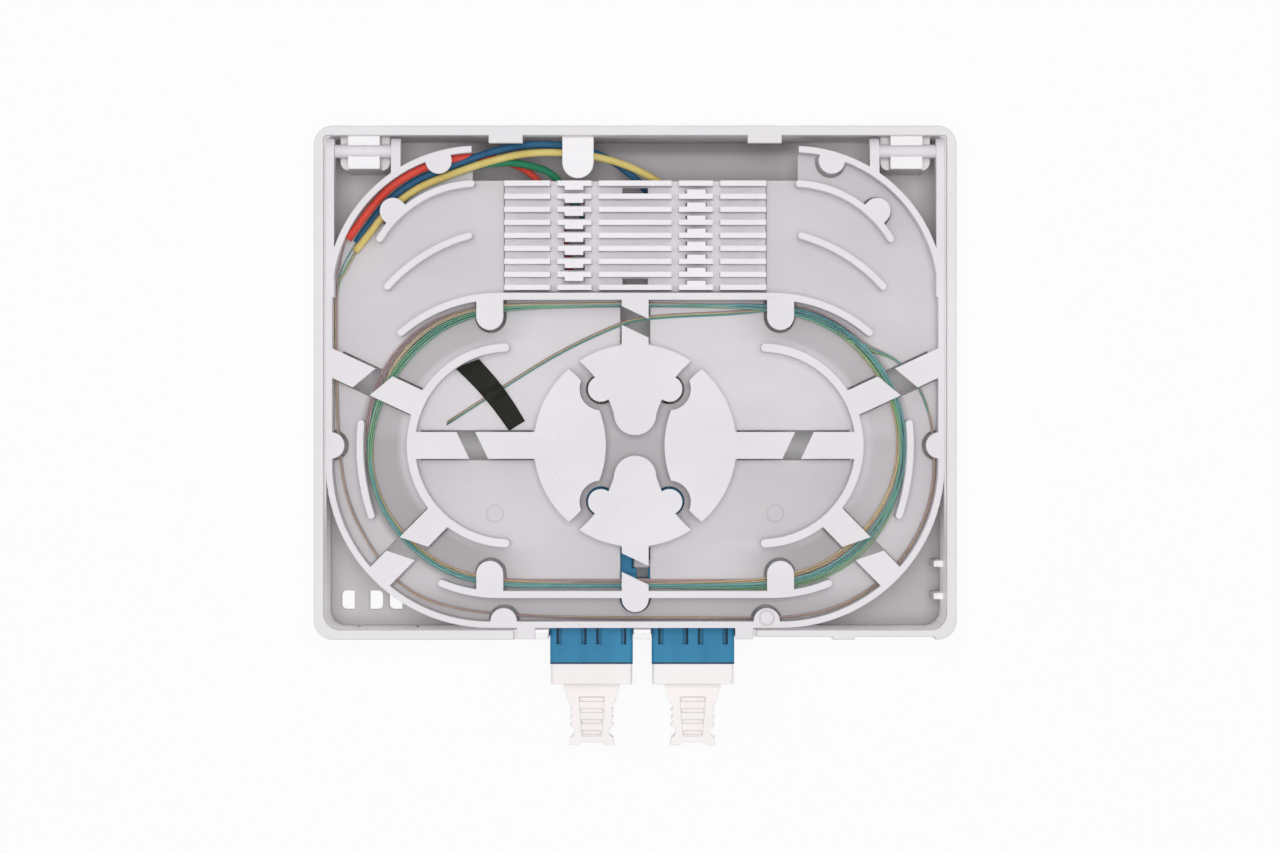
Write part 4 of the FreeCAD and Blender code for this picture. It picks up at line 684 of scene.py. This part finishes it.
# How wide the lanes lie at each station of a turn, and the stations where the topmost strand goes under
SPREAD = np.array((
    0.22, 0.22, 0.8, 1.15, 0.95, 0.45, 0.65, 0.8,
    0.55, 0.55, 0.9, 1.15, 0.85, 0.65, 0.9, 0.9,
))
UPPER_LEFT = (2, 4)
# The two slow waves of a strand: how far it sways, its share of the phase and its waves in a turn
SWAYS = ((0.10, 1.0, 1.31), (0.06, 2.3, 3.7))
MIDDLE_TURN = 1.9
WALL_PRESS = 0.45
COIL_LOWEST = 0.16
COIL_LAYER = 0.24
ROLL_HIGH = 0.10
ROLL_STEP = 0.7
PILE_HIGH = 0.7
INNER_LANE = -1.3
FEED_LOWEST = 0.15
FEED_LAYER = 0.25
FEED_SIDE = 46.98
FEED_BOTTOM = -36.7
FEED_CORNER_X = 22.7
FEED_CORNER_Y = -12.7
FEED_LEFT_RADII = np.array((23.2, 22.6, 23.7, 23.3))
FEED_RIGHT_RADIUS = 24.2
FEED_LEFT_ANGLES = 190.0 + FEED_STEP * np.arange(4)
FEED_RIGHT_ANGLES = 285.0 + ARC_STEP * np.arange(3)
TAIL_LOWEST = 0.14
TAIL_LAYER = 0.18
TAIL_LEAN = 0.35


def directions(angles):
    """Unit vectors at these angles in degrees."""
    turned = np.radians(angles)
    return np.stack([np.cos(turned), np.sin(turned)], axis=1)


def stations():
    """The sixteen places of one turn as arrays: each one's centre, its outward direction and its outset.

    The turn goes along the top to the left, round the left end, back along the bottom and round the right
    end.
    """
    steps = ARC_STEP * (np.arange(ARC_STATIONS) + 0.5)
    centres = np.concatenate([
        [(STRAIGHT_X, COIL_Y), (-STRAIGHT_X, COIL_Y)],
        np.tile((-COIL_X, COIL_Y), (ARC_STATIONS, 1)),
        [(-STRAIGHT_X, COIL_Y), (STRAIGHT_X, COIL_Y)],
        np.tile((COIL_X, COIL_Y), (ARC_STATIONS, 1)),
    ])
    outward = np.concatenate([
        np.tile((0.0, 1.0), (2, 1)),
        directions(90.0 + steps),
        np.tile((0.0, -1.0), (2, 1)),
        directions(270.0 + steps),
    ])
    end = np.full(ARC_STATIONS, COIL_OUTSET)
    outset = np.concatenate([np.ones(2), end, np.ones(2), end])
    return centres, outward, outset


def coil_run(lanes, slide, level, phase):
    """Four turns of coil and the part of a turn before them.

    A point is its station's centre plus the outward direction times the coil radius plus the station's
    lane, which slides from turn to turn, sways and closes up on the straights. Where the lanes close up,
    the strands lie higher on each other, against the wall. In the upper left the topmost strand goes under
    the others.
    """
    centres, outward, outset = stations()
    count = len(centres)
    step = np.arange(count - 2, (TURNS + 1) * count)
    here = step % count
    turn = step / count - 1.0
    lane = np.array(lanes)[here] + slide * (turn - MIDDLE_TURN)
    sway = sum(far * np.sin(share * phase + 2.0 * math.pi * turn * waves) for far, share, waves in SWAYS)
    close = np.clip(1.0 - SPREAD[here], 0.0, 1.0)
    reach = (COIL_RADIUS + WALL_PRESS * close + (lane + sway) * SPREAD[here]) * outset[here]
    flat = centres[here] + outward[here] * reach[:, None]
    under = (here >= UPPER_LEFT[0]) & (here <= UPPER_LEFT[1])
    order = (level + under) % STRANDS
    roll = ROLL_HIGH * np.sin(phase * 2.0 + step * ROLL_STEP)
    pile = close * (lane - INNER_LANE) * PILE_HIGH
    height = TRAY_FLOOR + COIL_LOWEST + COIL_LAYER * order + roll + pile
    return np.column_stack([flat, height]).tolist()


def feed_run(drift, level):
    """Points down the outer channel: the left side, the lower left corner, where the fibres stand off the
    wall, the bottom, the lower right corner and the right side, where they turn in to the coil in reverse
    order."""
    side = FEED_SIDE - drift
    bottom = FEED_BOTTOM - drift
    left_bend = FEED_LEFT_RADII * FEED_OUTSET - drift
    right_bend = (FEED_RIGHT_RADIUS - drift) * COIL_OUTSET
    left_corner = (-FEED_CORNER_X, FEED_CORNER_Y) + left_bend[:, None] * directions(FEED_LEFT_ANGLES)
    right_corner = (FEED_CORNER_X, FEED_CORNER_Y) + right_bend * directions(FEED_RIGHT_ANGLES)
    flat = np.concatenate([
        [(-side + 0.1, 16.0), (-side, 10.0), (-side + 0.12, -4.0)],
        left_corner,
        [(-13.0, bottom), (12.0, bottom)],
        right_corner,
        [(side, -7.5), (side - 1.6, -2.0), (side - 4.8, 3.4)],
    ])
    height = np.full(len(flat), TRAY_FLOOR + FEED_LOWEST + FEED_LAYER * level)
    height[-2:] = TRAY_FLOOR + FEED_LOWEST + FEED_LAYER * (STRANDS - 1 - level)
    return np.column_stack([flat, height]).tolist()


# Each tail is how far the strand lies to the side of the others and its layer
FIBRES = {
    "rose": {
        "start": [(-45.1, 22.9, 16.2), (-46.2, 19.4, 14.6)],
        "lanes": (-0.5, -0.8, 0.5, 1.0, 0.6, 0.3, 0.0, -0.4, -1.05, -1.05, -0.4, 0.1, 0.3, 0.4, 0.6, 0.6),
        "slide": 0.16, "drift": 0.2, "level": 0, "feed": 3, "phase": 0.3, "tail": (0.27, 0),
        "tints": (tint(176, 144, 142), tint(148, 126, 128)),
    },
    "green": {
        "start": [(-38.68, 26.89, 14.0), (-42.6, 22.8, 13.9)],
        "lanes": (0.2, 0.2, -0.5, -0.7, -0.4, 0.3, 0.2, 0.3, 0.4, 0.5, 0.75, 0.75, 0.1, -0.3, -0.4, -0.2),
        "slide": 0.27, "drift": 0.12, "level": 2, "feed": 1, "phase": 1.7, "tail": (0.0, 0),
        "tints": (tint(118, 170, 112), tint(98, 158, 130)),
    },
    "teal": {
        "start": [(-42.74, 23.36, 14.0), (-45.4, 19.6, 14.0)],
        "lanes": (-0.4, -0.2, -0.2, -0.1, 0.0, 0.2, 0.2, 0.3, 0.2, 0.2, 0.15, 0.1, 0.4, 0.45, 0.3, 0.2),
        "slide": 0.24, "drift": 0.16, "level": 3, "feed": 0, "phase": 3.2, "tail": (-0.24, 0),
        "tints": (tint(94, 154, 150), tint(74, 134, 140)),
    },
    "straw": {
        "start": [(-43.74, 20.65, 14.5), (-45.6, 16.6, 14.2)],
        "lanes": (0.8, 0.9, 0.5, 0.4, -0.5, -0.7, -0.75, -0.65, 0.0, 0.0, -0.8, -0.85, -0.6, -0.55, -0.7,
                  0.0),
        "slide": 0.14, "drift": 0.0, "level": 1, "feed": 2, "phase": 4.6, "tail": (0.13, 1),
        "tints": (tint(194, 170, 130), tint(172, 154, 126)),
    },
}
TAIL = [(18.0, 11.0), (1.0, 10.4), (-4.0, 8.6), (-12.0, 4.8), (-20.0, -0.2), (-29.5, -6.3)]

for hue, fibre in FIBRES.items():
    apart, layer = fibre["tail"]
    height = TRAY_FLOOR + TAIL_LOWEST + TAIL_LAYER * layer
    tail = [(x + TAIL_LEAN * apart, y + apart, height) for x, y in TAIL]
    feed = feed_run(fibre["drift"], fibre["feed"])
    coil = coil_run(fibre["lanes"], fibre["slide"], fibre["level"], fibre["phase"])
    route = fibre["start"] + feed + coil + tail
    finish = lacquered_fibre("fibre_" + hue, *fibre["tints"])
    strand = round_tube("bare_fibre_" + hue, route, FIBRE_RADIUS, FIBRE_SIDES, FIBRE_RESOLUTION, finish)
    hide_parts("fibre_coil", "fibre_feed", "fibre_tail")
    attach(strand, "tray")


# Tape over the fibre ends

TAPE_ROWS = 61
TAPE_COLUMNS = 21
TAPE_THICK = 0.13
TAPE_GAP = 0.06
FAR_LEFT = np.array((-28.2, 2.3))
FAR_RIGHT = np.array((-24.5, 3.75))
NEAR_LEFT = np.array((-19.8, -7.5))
NEAR_RIGHT = np.array((-17.3, -5.95))
TAPE_BOW = np.array((0.34, 0.22))
HUMP_HIGH = 0.52
HUMP_PLACE = 0.497
HUMP_SLANT = 0.023
HUMP_WIDE = 0.075
RISE_HIGH = 1.1
RISE_LONG = 0.16
WAVE_HIGH = 0.03
WAVE_ALONG = 9.0
WAVE_ACROSS = 4.0


def corner_quads(grid):
    """The quads of a grid of point numbers, as rows of four."""
    quads = np.stack([grid[:-1, :-1], grid[1:, :-1], grid[1:, 1:], grid[:-1, 1:]], axis=-1)
    return quads.reshape(-1, 4)


def tape_surface():
    """The strip as a closed grid: a four-sided patch between its corners, bowed sideways by a sine along
    its length, with a hump where it crosses the fibres and its far end rising up the ring wall."""
    along = np.linspace(0.0, 1.0, TAPE_ROWS)[:, None]
    across = np.linspace(0.0, 1.0, TAPE_COLUMNS)[None, :]
    left = FAR_LEFT + (NEAR_LEFT - FAR_LEFT) * along[..., None]
    right = FAR_RIGHT + (NEAR_RIGHT - FAR_RIGHT) * along[..., None]
    flat = left + (right - left) * across[..., None] + TAPE_BOW * np.sin(math.pi * along)[..., None]
    from_hump = along - HUMP_PLACE + HUMP_SLANT * (across - 0.5)
    hump = HUMP_HIGH * np.exp(-(from_hump / HUMP_WIDE) ** 2)
    rise = RISE_HIGH * np.clip((RISE_LONG - along) / RISE_LONG, 0.0, 1.0) ** 2 * (1.0 - 0.5 * across)
    wave = WAVE_HIGH * np.sin(WAVE_ALONG * along + WAVE_ACROSS * across)
    height = (TRAY_FLOOR + TAPE_GAP + hump + rise + wave)[..., None]
    top = np.concatenate([flat, height + TAPE_THICK], axis=-1)
    under = np.concatenate([flat, height], axis=-1)
    points = np.concatenate([top.reshape(-1, 3), under.reshape(-1, 3)]) * MM
    count = TAPE_ROWS * TAPE_COLUMNS
    grid = np.arange(count).reshape(TAPE_ROWS, TAPE_COLUMNS)
    over = corner_quads(grid)
    below = corner_quads(grid + count)[:, [0, 3, 2, 1]]
    rim = np.concatenate([grid[:-1, 0], grid[-1, :-1], grid[:0:-1, -1], grid[0, :0:-1]])
    after = np.roll(rim, -1)
    edge = np.stack([rim, rim + count, after + count, after], axis=-1)
    return points, np.concatenate([over, below, edge]).tolist()


tape_points, tape_faces = tape_surface()
tape = put_mesh("black_tape_strip", tape_points, tape_faces, cloth_tape("black_tape"))
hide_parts("tape_strip")
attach(tape, "tray")


# Floor, light and camera

DOME_TINT = (0.97, 0.985, 1.02, 1.0)
DOME_LIGHT = 0.38
PALE = (0.88, 0.88, 0.88, 1.0)
FLOOR_WHITE = 0.9
FLOOR_EDGE = 1.5
FLOOR_LEVEL = -0.0004


def seen_straight(look):
    """1 for rays from the camera, from mirrors and through glass, 0 for the light on the object."""
    path = look.node("ShaderNodeLightPath")
    seen = Value(look, path.outputs["Is Camera Ray"]) + Value(look, path.outputs["Is Glossy Ray"])
    return look.math("MINIMUM", seen + Value(look, path.outputs["Is Transmission Ray"]), 1.0)


def white_backdrop():
    """World that lights the object as a cool dome, and that the camera and mirrors see as white."""
    look = Look("studio", bpy.data.worlds.new("studio"))
    seen = seen_straight(look)
    dome = look.node("ShaderNodeBackground", None, {
        "Color": look.blend(seen, DOME_TINT, WHITE),
        "Strength": DOME_LIGHT + (1.0 - DOME_LIGHT) * seen,
    })
    look.node("ShaderNodeOutputWorld", None, {"Surface": dome.outputs[0]})
    return look.material


def white_floor():
    """Pale floor: the camera and mirrors see white with a faint shadow, other rays see a plain surface."""
    look = Look("pale_floor")
    plain = look.node("ShaderNodeBsdfDiffuse", None, {"Color": PALE})
    white = look.node("ShaderNodeEmission", None, {"Color": WHITE, "Strength": 1.0})
    shares = {0: seen_straight(look) * FLOOR_WHITE, 1: plain.outputs[0], 2: white.outputs[0]}
    mixed = look.node("ShaderNodeMixShader", None, shares)
    look.node("ShaderNodeOutputMaterial", None, {"Surface": mixed.outputs[0]})
    return look.material


floor_points = np.array([
    (-FLOOR_EDGE, -FLOOR_EDGE, FLOOR_LEVEL),
    (FLOOR_EDGE, -FLOOR_EDGE, FLOOR_LEVEL),
    (FLOOR_EDGE, FLOOR_EDGE, FLOOR_LEVEL),
    (-FLOOR_EDGE, FLOOR_EDGE, FLOOR_LEVEL),
])
floor = put_mesh("studio_floor", floor_points, [[0, 1, 2, 3]], white_floor())

scene.world = white_backdrop()


def soft_light(name, place, size, power, glint=1.0):
    """A square soft box that faces the middle of the object."""
    data = bpy.data.lights.new(name, "AREA")
    data.shape = "SQUARE"
    data.size = size
    data.energy = power
    data.specular_factor = glint
    lamp = bpy.data.objects.new(name, data)
    lamp.location = place
    far = math.hypot(place[0], place[1])
    lamp.rotation_euler = (0.0, math.atan2(far, place[2]), math.atan2(place[1], place[0]))
    lamp.visible_camera = False
    scene.collection.objects.link(lamp)


soft_light("left_box", place=(-0.8, 0.1, 0.62), size=0.7, power=0.65)
soft_light("right_box", place=(0.8, 0.1, 0.62), size=0.7, power=0.55)
soft_light("upper_box", place=(0.0, 0.85, 0.66), size=0.7, power=0.55)
soft_light("lower_box", place=(0.0, -0.85, 0.62), size=0.7, power=0.55)
soft_light("top_box", place=(0.0, 0.02, 1.2), size=0.42, power=6.2, glint=0.15)

camera_data = bpy.data.cameras.new("front_view")
camera_data.sensor_width = 36.0
camera_data.lens = 117.5
camera_data.clip_start = 0.01
camera = bpy.data.objects.new("front_view", camera_data)
camera.location = (0.00075, -0.0069, 0.669)
scene.collection.objects.link(camera)
scene.camera = camera
scene.view_settings.view_transform = "Standard"
